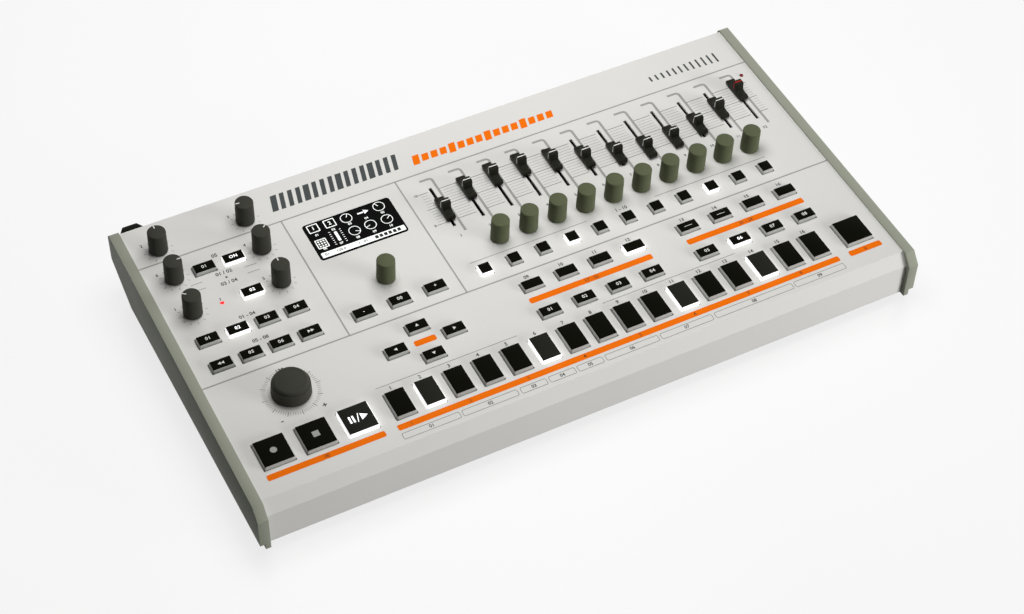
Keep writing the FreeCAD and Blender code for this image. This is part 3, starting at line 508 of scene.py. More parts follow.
def turned(profile, sides=64):
    """A round piece spun from its half outline of radius and height pairs, closed at its poles."""
    bpy.ops.mesh.primitive_plane_add(size=1)
    piece = bpy.context.object
    mesh = piece.data
    bpy.ops.object.mode_set(mode="EDIT")
    bpy.ops.mesh.select_all(action="SELECT")
    bpy.ops.mesh.delete(type="VERT")
    bpy.ops.object.mode_set(mode="OBJECT")
    mesh.vertices.add(len(profile))
    mesh.edges.add(len(profile) - 1)
    for corner, (radius, height) in zip(mesh.vertices, profile):
        corner.co = (radius, 0, height)
    for index, edge in enumerate(mesh.edges):
        edge.vertices = (index, index + 1)
    mesh.update()
    bpy.ops.object.mode_set(mode="EDIT")
    bpy.ops.mesh.select_all(action="SELECT")
    bpy.ops.mesh.spin(steps=sides, angle=2 * math.pi, axis=(0, 0, 1), center=(0, 0, 0))
    bpy.ops.mesh.select_all(action="SELECT")
    bpy.ops.mesh.remove_doubles(threshold=WELD)
    bpy.ops.mesh.normals_make_consistent(inside=False)
    done()
    return piece


def words(text, u, v, size, low=PRINT_LIFT, height=PRINT_THICKNESS, spacing=1.0):
    """Plain figures, flat on the panel."""
    bpy.ops.object.text_add()
    piece = bpy.context.object
    piece.data.body = text
    piece.data.size = size
    piece.data.space_character = spacing
    piece.data.align_x = "CENTER"
    piece.data.align_y = "CENTER"
    piece.data.resolution_u = 3
    piece.data.extrude = height / 2
    piece.data.offset = size * STROKE_GAIN
    bpy.ops.object.convert(target="MESH")
    piece = bpy.context.object
    piece.matrix_world = Matrix.Translation((u, v, low + height / 2))
    return piece


def arrow(u, v, low, size, height, turn):
    """A filled arrow head that points along u before it is turned."""
    piece = post(0, 0, low, size, height, sides=3)
    piece.matrix_world = Matrix.Translation((u, v, 0)) @ Matrix.Rotation(turn - math.pi / 2, 4, "Z")
    return piece


def merged_copy(node, place=WORLD):
    """A CAD node's own shape as one welded mesh, in a frame's millimetres."""
    piece = frame["nodes"][node].copy()
    piece.data = piece.data.copy()
    piece.parent = None
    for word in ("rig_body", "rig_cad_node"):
        del piece[word]
    bpy.context.collection.objects.link(piece)
    piece.data.transform(place.inverted())
    alone(piece)
    bpy.ops.mesh.customdata_custom_splitnormals_clear()
    bpy.ops.object.mode_set(mode="EDIT")
    bpy.ops.mesh.select_all(action="SELECT")
    bpy.ops.mesh.remove_doubles(threshold=WELD)
    bpy.ops.mesh.dissolve_limited(angle_limit=math.radians(0.5))
    done()
    return piece


def soft_copy(node, name, finish, body, width):
    """A CAD node's own shape with its edges eased."""
    piece = bevel(merged_copy(node), width, segments=3, angle=40)
    return settle(piece, name, finish, body, [node], WORLD)


def solids(node, place):
    """The lowest and highest corners of each separate solid of a node, in a frame's millimetres."""
    alone(merged_copy(node, place))
    bpy.ops.mesh.separate(type="LOOSE")
    found = []
    for piece in list(bpy.context.selected_objects):
        corners = [corner.co for corner in piece.data.vertices]
        found.append((Vector(min(corner[axis] for corner in corners) for axis in range(3)),
                      Vector(max(corner[axis] for corner in corners) for axis in range(3))))
        drop(piece)
    return found


# Where the controls stand, read from the frame.
def tops(node):
    """The middle and size of each button's top in a bank: the rear row first, each from the left."""
    found = []
    for low, high in solids(node, PANEL):
        middle, size = (low + high) / 2, high - low
        hidden = 2 * (SKIRT_MARGIN + FLANGE_MARGIN)
        found.append((middle.x, middle.y, size.x - hidden, size.y - hidden))
    return sorted(found, key=lambda top: (-round(top[1]), top[0]))


def span(node):
    """The lowest and highest corners of a node in the panel's frame."""
    corners = [on_panel(corner.co) for corner in frame["nodes"][node].data.vertices]
    return (Vector(min(corner[axis] for corner in corners) for axis in range(3)),
            Vector(max(corner[axis] for corner in corners) for axis in range(3)))


# Push buttons: a frosted clear frame that tapers up to a gloss black cap, with its sign printed on top.
GAP_UNDER = 1.4
WALL_RISE = 1.2
RIM_RISE = 2.6
FRAME_CORNER = 1.3
RIM_WIDTH = 0.25
CAP_SEAT = 0.6
CAP_OVERLAP = 0.1
SMALL_LENGTH = 10
SIGN_RISE = CAP_RISE + 0.01
SIGN_SIZE = 3.6
PLAY_BAR = (1.3, 5.6)
LIT = {"filter_buttons": (1, 2), "pattern_buttons": (1,), "voice_select_buttons": (0, 3, 8),
       "edit_buttons": (3,), "mode_buttons": (5,), "step_keys_1_to_8": (1, 5), "step_keys_9_to_16": (2, 5),
       "play_button": (0,)}
SIGNS = {
    "filter_buttons": ["01", "ON", "02"],
    "pattern_buttons": ["01", "02", "03", "04", "<<", "05", "06", ">>"],
    "menu_buttons": ["-", "00", "+"],
    "edit_buttons": ["", "", "", "", "01", "02", "03", "04"],
    "mode_buttons": ["_", "_", "", "", "05", "06", "07", "08"],
    "arrow_buttons": ["up", "left", "right", "down"],
    "record_button": ["dot"],
    "stop_button": ["square"],
    "play_button": ["play"],
}
# Every bank's tops, kept for the printing beside them.
LAYOUTS = {}


def button_frame(width, length):
    """A frame with round corners and upright walls, which draws in to the rim round its cap."""
    foot_width, foot_length = width + 2 * FRAME_FOOT, length + 2 * FRAME_FOOT
    rim_width, rim_length = width + 2 * RIM_WIDTH, length + 2 * RIM_WIDTH
    piece = cube(0, 0, -GAP_UNDER, foot_width, foot_length, GAP_UNDER + WALL_RISE)
    pick(piece, "EDGE",
         lambda middle: near(abs(middle.x), foot_width / 2) and near(abs(middle.y), foot_length / 2))
    bpy.ops.mesh.bevel(offset=FRAME_CORNER, segments=4, affect="EDGES")
    done()
    pick(piece, "FACE", lambda middle: middle.z > WALL_RISE - 0.1)
    bpy.ops.mesh.extrude_region_move(TRANSFORM_OT_translate={"value": (0, 0, RIM_RISE - WALL_RISE)})
    bpy.ops.transform.resize(value=(rim_width / foot_width, rim_length / foot_length, 1))
    done()
    return bevel(piece, 0.2, 2, 20)


def button_cap(width, length):
    """The cap, seated in its frame's rim."""
    piece = cube(0, 0, RIM_RISE - CAP_SEAT, width + CAP_OVERLAP, length + CAP_OVERLAP,
                 CAP_RISE - RIM_RISE + CAP_SEAT)
    return bevel(piece, 0.15, 2, 25)


def sign(word, u, v):
    """The printed pieces of one cap's sign."""
    thin = PRINT_THICKNESS
    if word in ("up", "left", "right", "down"):
        turn = {"right": 0, "up": math.pi / 2, "left": math.pi, "down": -math.pi / 2}[word]
        return [arrow(u, v, SIGN_RISE, 1.5, thin, turn)]
    if word in ("<<", ">>"):
        turn = 0 if word == ">>" else math.pi
        return [arrow(u + shift, v, SIGN_RISE, 1.45, thin, turn) for shift in (-1.15, 1.15)]
    if word == "_":
        return [bar(u, v - 0.2, SIGN_RISE, 6.4, 0.3, thin)]
    if word == "dot":
        return [post(u, v, SIGN_RISE, 2.3, thin)]
    if word == "square":
        return [bar(u, v, SIGN_RISE, 4.6, 4.6, thin)]
    if word == "play":
        return [bar(u - 5.4, v, SIGN_RISE, *PLAY_BAR, thin), bar(u - 3.0, v, SIGN_RISE, *PLAY_BAR, thin),
                bar(u + 0.1, v, SIGN_RISE, 0.6, 7.0, thin, turn=math.radians(-16)),
                arrow(u + 3.8, v, SIGN_RISE, 3.2, thin, 0)]
    return [words(word, u, v, SIGN_SIZE, SIGN_RISE, thin, spacing=1.15)]


def button_bank(node):
    """All the buttons of one bank: frames, caps and signs, the lit ones apart."""
    layout = tops(node)
    LAYOUTS[node] = layout
    width, length = layout[0][2:]
    frame_model, cap_model = button_frame(width, length), button_cap(width, length)
    lit = LIT.get(node, ())
    small = length < SMALL_LENGTH
    sorts = {"frames": ("button_skirt", frame_model, lambda index: index not in lit),
             "lit_frames": ("button_glow", frame_model, lambda index: index in lit),
             # Large lit buttons take the paler cap, whose grey is painted glow from the lamp inside.
             "caps": ("button_cap", cap_model, lambda index: index not in lit or small),
             "lit_caps": ("lit_cap", cap_model, lambda index: index in lit and not small)}
    stands_for = [node]
    for sort, (finish, model, wanted) in sorts.items():
        copies = [copy_at(model, *top[:2]) for index, top in enumerate(layout) if wanted(index)]
        if copies:
            settle(joined(copies), f"{node}_{sort}", finish, node, stands_for)
            stands_for = []
    drop(frame_model, cap_model)
    plain_ink = "pale_print" if node in ("record_button", "stop_button") else "white_mark"
    signs = {"signs": [], "lit_signs": []}
    for index, word in enumerate(SIGNS.get(node, ())):
        if word:
            kind = "lit_signs" if index in lit else "signs"
            signs[kind] += sign(word, *layout[index][:2])
    for kind, pieces in signs.items():
        if pieces:
            finish = "button_glow" if kind == "lit_signs" else plain_ink
            settle(joined(pieces), f"{node}_{kind}", finish, node)


for bank in frame["record"]["behaviour"]["bodies"]:
    if bank.endswith(("_button", "_buttons")) or bank.startswith("step_keys"):
        button_bank(bank)


# Turning controls: a moulded cap with shallow flutes and an eased crown, and its pointer.
EDGE_STEPS = 5
KNOB_SIDES = 64
KNOB_FOOT = 0.6
WIDE_KNOB = 10.0
WIDE_EASE, SLIM_EASE = 2.4, 1.0
WIDE_TAPER, SLIM_TAPER = 0.89, 0.963
SKIRT_TOP = 9.3
FLUTE_DEPTH = 0.13
POINTER_WIDTH = 0.75


def crown(radius, height, ease):
    """The rounded part of a knob's half outline, from its side round to its top."""
    points = []
    for step in range(EDGE_STEPS + 1):
        turn = math.pi / 2 * step / EDGE_STEPS
        points.append((radius - ease + ease * math.cos(turn), height - ease + ease * math.sin(turn)))
    return points


def knob_cap(base, top, foot, height, ease, rim):
    """A knob: a slim foot, then fluted sides or, on a wide knob, a skirt with a step above it."""
    profile = [(0, foot + 1.2), (base - 1.4, foot + 1.2), (base - 1.4, foot), (base - 0.25, foot),
               (base, foot + 0.25)]
    if base > WIDE_KNOB:
        profile += [(base - 0.5, SKIRT_TOP - 0.3), (base - 0.8, SKIRT_TOP), (top + 0.25, SKIRT_TOP + 0.05)]
    profile += crown(top, height, ease)
    profile += [(rim + 0.12, height), (rim, height - 0.07), (rim - 0.12, height - 0.02), (0, height - 0.05)]
    piece = turned(profile, KNOB_SIDES)
    if base < WIDE_KNOB:
        for corner in piece.data.vertices:
            step = round(math.atan2(corner.co.y, corner.co.x) / (2 * math.pi / KNOB_SIDES))
            if step % 2 and corner.co.z < height - ease + 0.01 and corner.co.xy.length > rim:
                corner.co.xy *= 1 - FLUTE_DEPTH / base
    return piece


def pointer(top, height, ease):
    """A white line from the crown's top over its edge and a little way down the side."""
    line = bar(top - 1.9, 0, height - 0.03, 2.6, POINTER_WIDTH, 0.07)
    tail = bar(top - 0.02, 0, height - ease - 2.0, 0.12, POINTER_WIDTH, 2.6)
    return joined([line, tail])


# The directions in which the pointers stand at rest, in degrees to the left of straight right.
POINTERS = {"main_volume_knob": 90, "swing_knob": 0, "accent_knob": 143, "phones_knob": 173,
            "resonance_knob": 35, "send_knob": 90}
pin_model = bevel(post(0, 0, -2.0, 3.0, 6.0, 32), 0.2, 1)
knob_places = {body: on_panel(joints[body + "_turn"]["pos_m"]) for body in frame["bodies"]
               if body.endswith("_knob") or body.startswith("voice_knob")}
for body, spot in knob_places.items():
    low, high = span(body)
    radius = (high.x - low.x) / 2
    wide = radius > WIDE_KNOB
    ease = WIDE_EASE if wide else SLIM_EASE
    finish = "dark_knob" if wide or body in POINTERS else "green_knob"
    top = radius * (WIDE_TAPER if wide else SLIM_TAPER)
    height = high.z - 0.05
    model = knob_cap(radius, top, KNOB_FOOT, height, ease, top - ease - 0.2)
    settle(copy_at(model, spot.x, spot.y), body + "_cap", finish, body, [body])
    settle(copy_at(pin_model, spot.x, spot.y), body + "_shaft", "pot_metal", body)
    drop(model)
    if body in POINTERS:
        mark = pointer(top, height, ease)
        turn = math.radians(POINTERS[body])
        mark.matrix_world = Matrix.Translation((spot.x, spot.y, 0)) @ Matrix.Rotation(turn, 4, "Z")
        settle(mark, body + "_pointer", "white_mark", body)
drop(pin_model)


# Slide controls: a waisted cap with a raised grip and a line across it, on a flat steel lever.
FADER_OUTLINE = ((-10.8, 1.2), (-10.8, 3.4), (-10.1, 4.3), (-8.6, 4.7), (-7.6, 4.2), (-4.8, 4.6),
                 (-3.4, 5.0), (-2.7, 10.4), (-2.0, 11.0), (2.0, 11.0), (2.7, 10.4), (3.4, 5.0),
                 (4.8, 4.6), (7.6, 4.2), (8.6, 4.7), (10.1, 4.3), (10.8, 3.4), (10.8, 1.2))
FADER_WIDTH = 6.7
GRIP_TOP = 10.99
GRIP_LINE = 0.75


def fader_cap():
    """The cap's side outline as one face, pushed across to its width and eased."""
    bpy.ops.mesh.primitive_circle_add(vertices=len(FADER_OUTLINE), radius=1, fill_type="NGON")
    piece = bpy.context.object
    for corner, (along, up) in zip(piece.data.vertices, reversed(FADER_OUTLINE)):
        corner.co = (-FADER_WIDTH / 2, along, up)
    bpy.ops.object.mode_set(mode="EDIT")
    bpy.ops.mesh.select_all(action="SELECT")
    bpy.ops.mesh.extrude_region_move(TRANSFORM_OT_translate={"value": (FADER_WIDTH, 0, 0)})
    bpy.ops.mesh.select_all(action="SELECT")
    bpy.ops.mesh.normals_make_consistent(inside=False)
    done()
    return bevel(piece, 0.4, 3, 25)


cap_model = fader_cap()
lever_model = bevel(cube(0, 0, -9.0, 1.2, 4.0, 10.8), 0.15, 1)
grip_line = joined([bar(0, 0, GRIP_TOP, FADER_WIDTH - 0.7, GRIP_LINE, 0.05),
                    bar(-FADER_WIDTH / 2, 0, 4.9, 0.06, GRIP_LINE, 5.8),
                    bar(FADER_WIDTH / 2, 0, 4.9, 0.06, GRIP_LINE, 5.8)])
fader_names = sorted(body for body in frame["bodies"] if body.startswith("level_fader"))
fader_u = []
for body in fader_names:
    low, high = span(body)
    across, along = (low.x + high.x) / 2, (low.y + high.y) / 2
    fader_u.append(across)
    settle(copy_at(cap_model, across, along), body + "_cap", "fader_cap", body, [body])
    settle(copy_at(lever_model, across, along), body + "_lever", "fader_steel", body)
    finish = "red_mark" if body == fader_names[-1] else "white_mark"
    settle(copy_at(grip_line, across, along), body + "_line", finish, body)
drop(cap_model, lever_model, grip_line)
PITCH = fader_u[1] - fader_u[0]

# Printing on the panel: thin raised ink, collected by colour.
PRINTING = {"grey_print": "dark_printing", "pale_print": "fine_printing", "orange_print": "orange_printing"}
ink = {colour: [] for colour in PRINTING}
HAIRLINE = 0.3


def dot(colour, u, v, radius, sides):
    """A round or square dot of ink."""
    ink[colour].append(post(u, v, PRINT_LIFT, radius, PRINT_THICKNESS, sides))


def line(colour, u0, v0, u1, v1, width):
    """A straight line between two places."""
    length = math.hypot(u1 - u0, v1 - v0)
    ink[colour].append(bar((u0 + u1) / 2, (v0 + v1) / 2, PRINT_LIFT, length, width, PRINT_THICKNESS,
                           turn=math.atan2(v1 - v0, u1 - u0)))


def level(colour, v, start, end, width=HAIRLINE):
    """A line along the panel's width."""
    line(colour, start, v, end, v, width)


def figure(text, u, v, size):
    """A plain number or sign in dark ink."""
    ink["grey_print"].append(words(text, u, v, size))


def ring_of_ticks(colour, u, v, inner, outer, width, angles):
    """Short lines that point at a knob's middle."""
    for angle in angles:
        turn = math.radians(angle)
        line(colour, u + inner * math.cos(turn), v + inner * math.sin(turn), u + outer * math.cos(turn),
             v + outer * math.sin(turn), width)


HALF = (case_high.x - case_low.x) / 2 / MM
DIVIDER_WIDTH = 1.1
DIVIDERS_ACROSS = (211.3, 97.2)
DIVIDERS_ALONG = (-136.6, -49.3)
for v in DIVIDERS_ACROSS:
    level("pale_print", v, -HALF, HALF, DIVIDER_WIDTH)
for u in DIVIDERS_ALONG:
    line("pale_print", u, DIVIDERS_ACROSS[1], u, DIVIDERS_ACROSS[0], DIVIDER_WIDTH)

# Bars of orange under the keys and between the button rows: their length, and where each starts and ends.
UNDER_KEYS, BETWEEN_ROWS = 13.7, 71.7
ORANGE_BARS = ((UNDER_KEYS, 4.7, ((-231.8, -149.7), (-141.0, 197.4), (206.0, 232.3))),
               (BETWEEN_ROWS, 4.8, ((-101.2, -85.3), (-14.8, 80.9), (109.3, 204.7))))
for v, length, spans in ORANGE_BARS:
    for start, end in spans:
        ink["orange_print"].append(bar((start + end) / 2, v, PRINT_LIFT, end - start, length,
                                       PRINT_THICKNESS, 1.3))

# Step keys: numbers above, outlined boxes below.
keys = LAYOUTS["step_keys_1_to_8"] + LAYOUTS["step_keys_9_to_16"]
NUMBER_V, OVER_KEYS = 45.6, 48.9
for index, key in enumerate(keys, start=1):
    figure(str(index), key[0], NUMBER_V, 4.0)
level("grey_print", OVER_KEYS, -140.5, -36.3)
level("grey_print", OVER_KEYS, 28.9, 133.8)
BOX_MIDDLE, BOX_LENGTH = 6.3, 5.2
BOXES = ((-141.0, -99.9), (-98.2, -57.8), (-55.7, -36.4), (-34.6, -15.2), (-13.4, 5.8), (7.8, 48.3),
         (50.1, 90.5), (92.6, 154.6), (156.3, 197.4))
for number, (start, end) in enumerate(BOXES, start=1):
    ink["grey_print"].append(hoop((start + end) / 2, BOX_MIDDLE, PRINT_LIFT, end - start, BOX_LENGTH,
                                  PRINT_THICKNESS, 1.2, 0.28))
    figure(f"{number:02d}", (start + end) / 2, BOX_MIDDLE, 3.6)
for number, key in enumerate(keys[::2], start=1):
    figure(str(number), key[0], UNDER_KEYS, 3.8)

# Faders: a scale between each pair, a hooked line beside each slot and a number below it.
SCALE_MARKS = (161.0, 176.6, 192.2)
FINE_MARKS = 5
HOOK_TOP, HOOK_FOOT, HOOK_SIDE, HOOK_WIDTH, HOOK_RADIUS = 203.9, 148.8, 5.1, 1.9, 2.0
for index, u in enumerate([fader_u[0] - PITCH] + fader_u):
    start, end = u + HOOK_SIDE + 1.0, u + PITCH - 3.0
    if index == 0:
        start = u + PITCH - 10.0
    if index == len(fader_u):
        end = u + 12.0
    for mark in SCALE_MARKS:
        level("grey_print", mark, start - 0.6, end, 0.38)
    for low_mark, high_mark in zip(SCALE_MARKS, SCALE_MARKS[1:]):
        for step in range(1, FINE_MARKS + 1):
            fine_mark = low_mark + (high_mark - low_mark) * step / (FINE_MARKS + 1)
            level("pale_print", fine_mark, start + 0.8, end - 0.8)
for number, u in enumerate(fader_u, start=1):
    turn_u, turn_v = u + HOOK_SIDE - HOOK_RADIUS, HOOK_TOP - HOOK_RADIUS
    level("pale_print", HOOK_TOP, u - 4.0, turn_u, HOOK_WIDTH)
    line("pale_print", u + HOOK_SIDE, turn_v, u + HOOK_SIDE, HOOK_FOOT, HOOK_WIDTH)
    for step in range(4):
        start, end = (math.radians(90 - 22.5 * part) for part in (step, step + 1))
        line("pale_print", turn_u + HOOK_RADIUS * math.cos(start), turn_v + HOOK_RADIUS * math.sin(start),
             turn_u + HOOK_RADIUS * math.cos(end), turn_v + HOOK_RADIUS * math.sin(end), HOOK_WIDTH)
    figure(str(number), u, 145.6, 3.4)
figure("10", fader_u[0] - 12.6, SCALE_MARKS[2], 3.0)
figure("0", fader_u[0] - 12.2, SCALE_MARKS[0], 3.0)

# Knobs: tick rings, numbers and the lines that join the groups.
KNOB_TICKS = [*range(-60, 241, 30), -90]
DOT_CIRCLE, DOTS = 9.3, 24
for body, spot in knob_places.items():
    u, v = spot.xy
    if body in POINTERS:
        ring_of_ticks("pale_print", u, v, 8.7, 10.6, 0.42, KNOB_TICKS)
        figure(f"{sorted(POINTERS).index(body) + 1}", u - 9.6, v + 8.0, 3.6)
    elif body == "data_knob":
        for step in range(DOTS):
            turn = 2 * math.pi * step / DOTS
            dot("pale_print", u + DOT_CIRCLE * math.cos(turn), v + DOT_CIRCLE * math.sin(turn), 0.26, 8)
    elif body == "tempo_knob":
        ring_of_ticks("grey_print", u, v, 17.0, 20.5, 0.38, range(0, 360, 30))
        fine_ticks = [angle for angle in range(0, 360, 5) if angle % 30]
        ring_of_ticks("pale_print", u, v, 17.0, 19.5, 0.36, fine_ticks)
        for text, side in (("-", -15.0), ("+", 15.0)):
            figure(text, u + side, v - 19.5, 6.0)
        figure("120", u, v + 19.2, 4.2)

OVER_VOICES, FILTER_U, LAMP_U = 119.8, -190.3, -201.6
level("grey_print", OVER_VOICES, -36.1, 55.9)
level("grey_print", OVER_VOICES, 110.7, 202.6)
for v in (183.0, 177.1):
    level("grey_print", v, -215.0, -206.5)
    level("grey_print", v, -176.0, -167.0)
dot("grey_print", FILTER_U, 180.0, 1.0, 4)

# Plain numbers for the groups: each with its place and its height.
GROUP_NUMBERS = (("1 - 10", 83.3, OVER_VOICES, 4.0), ("01 / 02", FILTER_U, 184.6, 4.2),
                 ("03 / 04", FILTER_U, 175.2, 4.2), ("05", FILTER_U, 201.5, 4.2), ("1", LAMP_U, 163.4, 3.4),
                 ("17 - 20", 33.0, BETWEEN_ROWS, 3.8), ("21 - 24", 157.0, BETWEEN_ROWS, 3.8),
                 ("01 - 04", -190.8, 143.0, 4.0), ("05 - 08", -190.8, 120.3, 4.0),
                 ("00", -190.8, UNDER_KEYS, 3.8), ("0", 219.2, UNDER_KEYS, 3.8))
for text, u, v, size in GROUP_NUMBERS:
    figure(text, u, v, size)

# Numbers over the button rows.
for node, first in (("edit_buttons", 9), ("mode_buttons", 13)):
    for number, top in enumerate(LAYOUTS[node][:4], start=first):
        figure(f"{number:02d}", top[0], top[1] + 8.4, 3.9)

# Plain bars along the rear edge of the panel: every fourth one stands out in the two leaning rows.
BAR_LEAN = math.radians(14)
for index in range(16):
    width, length = (3.4, 6.6) if index % 4 else (4.6, 9.0)
    ink["grey_print"].append(slanted(-134.0 + index * 6.2, 228.9, width, 14.8, BAR_LEAN))
    ink["orange_print"].append(slanted(-26.0 + index * 7.2, 224.7, 5.2, length, BAR_LEAN))
for index in range(12):
    ink["grey_print"].append(slanted(168.0 + index * 5.1, 225.0, 1.5, 5.0 + index * 0.45, 0.0))

for colour, pieces in ink.items():
    settle(joined(pieces), PRINTING[colour], colour, "root")


# The display: symbols in white on the black window, none of them words.
window_low, window_high = span("display_window")
SCREEN_LEFT, SCREEN_TOP = window_low.x, window_high.y
SCREEN_RISE = window_high.z + 0.012
SYMBOL_LINE, SYMBOL_CORNER = 0.7, 0.6
screen = []


def screen_spot(right, down):
    """A place on the panel from its distances to the window's left and rear edges."""
    return SCREEN_LEFT + right, SCREEN_TOP - down


def screen_bar(right, down, width, length, corner=0.0, turn=0.0):
    u, v = screen_spot(right, down)
    screen.append(bar(u, v, SCREEN_RISE, width, length, PRINT_THICKNESS, corner, turn))


def screen_hoop(right, down, width, length):
    u, v = screen_spot(right, down)
    screen.append(hoop(u, v, SCREEN_RISE, width, length, PRINT_THICKNESS, SYMBOL_CORNER, SYMBOL_LINE))


def screen_dial(right, down, radius, angle):
    """A dial circle with its pointer."""
    u, v = screen_spot(right, down)
    screen.append(hoop(u, v, SCREEN_RISE, 2 * radius, 2 * radius, PRINT_THICKNESS, radius * 0.95, 0.5))
    turn = math.radians(angle)
    middle = radius * 0.55
    hand_right, hand_down = right + middle * math.cos(turn), down - middle * math.sin(turn)
    screen_bar(hand_right, hand_down, radius * 0.8, 0.5, 0.0, turn)


def screen_words(text, right, down, size):
    u, v = screen_spot(right, down)
    screen.append(words(text, u, v, size, SCREEN_RISE, PRINT_THICKNESS))


BOX_WIDTH, BOX_HEIGHT = 8.2, 7.7
for right, down, number in ((6.8, 5.1, "1"), (19.2, 5.3, "2")):
    screen_hoop(right, down, BOX_WIDTH, BOX_HEIGHT)
    screen_words(number, right, down, 4.4)
screen_hoop(6.7, 20.4, BOX_WIDTH, 8.6)
for step in range(9):
    screen_bar(4.7 + 2.0 * (step % 3), 18.2 + 2.2 * (step // 3), 1.2, 1.3)
SLIDER_RIGHT = 19.3
screen_bar(SLIDER_RIGHT, 18.6, 2.1, 9.0, 0.5)
for side in (-4.0, 4.0):
    for step in range(7):
        screen_bar(SLIDER_RIGHT + side, 13.2 + 2.0 * step, 1.2, 0.5)
DIAL_RADIUS = 4.3
DIALS = ((31.5, 5.9, 60), (56.7, 5.4, 120), (32.0, 19.0, -30), (44.3, 18.6, 200), (56.8, 18.8, 40))
for right, down, angle in DIALS:
    screen_dial(right, down, DIAL_RADIUS, angle)
arrow_u, arrow_v = screen_spot(46.2, 5.7)
screen.append(arrow(arrow_u, arrow_v, SCREEN_RISE, 2.4, PRINT_THICKNESS, 0))
screen_bar(42.4, 5.7, 4.4, 1.3)
LABEL_ROWS = (11.8, 25.6)
for column, right in enumerate((6.8, 19.2, 31.7, 44.3, 56.8), start=1):
    for row, down in enumerate(LABEL_ROWS):
        screen_words(f"{column + 5 * row:02d}", right, down, 2.7)
SCREEN_FOOT = 31.0
screen_bar(33.5, SCREEN_FOOT, 63.0, 4.8, 0.6)
settle(joined(screen), "display_symbols", "screen_mark", "root")
ON_SCREEN = SCREEN_RISE + PRINT_THICKNESS
tags = [words(text, *screen_spot(right, SCREEN_FOOT), 3.2, ON_SCREEN, PRINT_THICKNESS)
        for right, text in ((6.0, "01"), (16.4, "120.0"), (33.0, "1 : 01"))]
tags += [bar(*screen_spot(43.4 + 3.4 * step, SCREEN_FOOT), ON_SCREEN, 2.4, 2.8, PRINT_THICKNESS)
         for step in range(6)]
settle(joined(tags), "display_dark_symbols", "display_can", "root")

# Lamps in their holes in the panel.
red_lamp = bevel(cube(LAMP_U, 160.0, -1.0, 2.8, 1.8, 1.5), 0.3, 3)
settle(red_lamp, "signal_lamp", "red_lamp", "root")
level_lamp = turned([(0, -1.0), (1.5, -1.0), (1.5, 0.3), (1.3, 0.75), (0.8, 1.05), (0, 1.15)], 24)
settle(copy_at(level_lamp, 231.7, 199.6), "level_lamp", "dark_lamp", "root")
drop(level_lamp)

# Cheeks, hook and rocker with eased edges.
soft_copy("left_cheek", "left_cheek_moulding", "cheek_plastic", "root", 0.9)
soft_copy("right_cheek", "right_cheek_moulding", "cheek_plastic", "root", 0.9)
soft_copy("cord_hook", "cord_hook_moulding", "hook_plastic", "root", 0.6)
soft_copy("power_rocker", "power_rocker_cap", "rocker_plastic", "power_rocker", 0.35)

# Rear fittings: half outlines of their turned pieces, in millimetres from the rear panel's face.
JACK_RING = [(3.25, -0.5), (5.0, -0.5), (5.0, 0.12), (4.4, 0.3), (3.5, 0.3), (3.25, 0.1), (3.25, -0.5)]
SHIELD = [(6.1, -6.9), (6.65, -6.9), (6.65, 0.15), (6.1, 0.15), (6.1, -6.9)]
INLET_RING = [(3.3, -0.6), (5.4, -0.6), (5.4, 0.0), (5.0, 0.35), (3.7, 0.35), (3.3, 0.1), (3.3, -0.6)]
INLET_PIN = [(0, -8.0), (0.95, -8.0), (0.95, -1.4), (0.7, -0.9), (0, -0.8)]
NUT_RADIUS, NUT_BORE, NUT_HEIGHT = 8.35, 5.42, 2.3
RING_RISE = 3.0
CORE_RADIUS, PIN_CIRCLE, PIN_RADIUS = 5.2, 3.4, 0.65


def on_rear(mount):
    """A mount's place in the rear frame."""
    return REAR.inverted() @ Vector(mounts[mount]["pos_m"])


def at_rear(piece, spot, name, finish, rise=0.0):
    """Move a finished fitting to its place at the rear, and settle it."""
    piece.matrix_world = Matrix.Translation((spot.x, spot.y, rise)) @ piece.matrix_world
    settle(piece, name, finish, "root", place=REAR)


def jack_nut():
    """A six-sided nut with its bore."""
    nut = carve(post(0, 0, -0.02, NUT_RADIUS, NUT_HEIGHT, 6), post(0, 0, -1, NUT_BORE, 5))
    return bevel(nut, 0.25)


def socket_core():
    """The core of a round socket, with its five holes over a half turn."""
    core = bevel(post(0, 0, -6.9, CORE_RADIUS, 6.0, 64), 0.3)
    turns = [math.radians(45 * step) for step in range(5)]
    holes = [post(PIN_CIRCLE * math.cos(turn), PIN_CIRCLE * math.sin(turn), -3.4, PIN_RADIUS, 4, 16)
             for turn in turns]
    return carve(core, joined(holes))


jack_names = [name for name in mounts if name.startswith("jack_")]
din_names = [name for name in mounts if name.startswith("din_")]
for name in jack_names:
    at_rear(jack_nut(), on_rear(name), f"{name}_nut", "socket_metal")
    at_rear(turned(JACK_RING, 48), on_rear(name), f"{name}_ring", "socket_metal", RING_RISE)
for name in din_names:
    at_rear(turned(SHIELD, 64), on_rear(name), f"{name}_shield", "socket_metal")
    at_rear(socket_core(), on_rear(name), f"{name}_core", "socket_plastic")

openings = {opening["name"]: opening for opening in frame["record"]["physics"]["openings"]}
mouth_low, mouth_high = (REAR.inverted() @ Vector(corner) for corner in openings["usb_mouth"]["box_m"])
mouth = (mouth_low + mouth_high) / 2
tongue = bevel(cube(mouth.x, mouth.y - 1.0, -9.0, 5.6, 2.6, 8.2), 0.3)
settle(tongue, "usb_tongue", "socket_plastic", "root", place=REAR)
at_rear(turned(INLET_RING, 48), on_rear("power_inlet"), "inlet_ring", "socket_metal")
at_rear(turned(INLET_PIN, 24), on_rear("power_inlet"), "inlet_pin", "socket_metal")

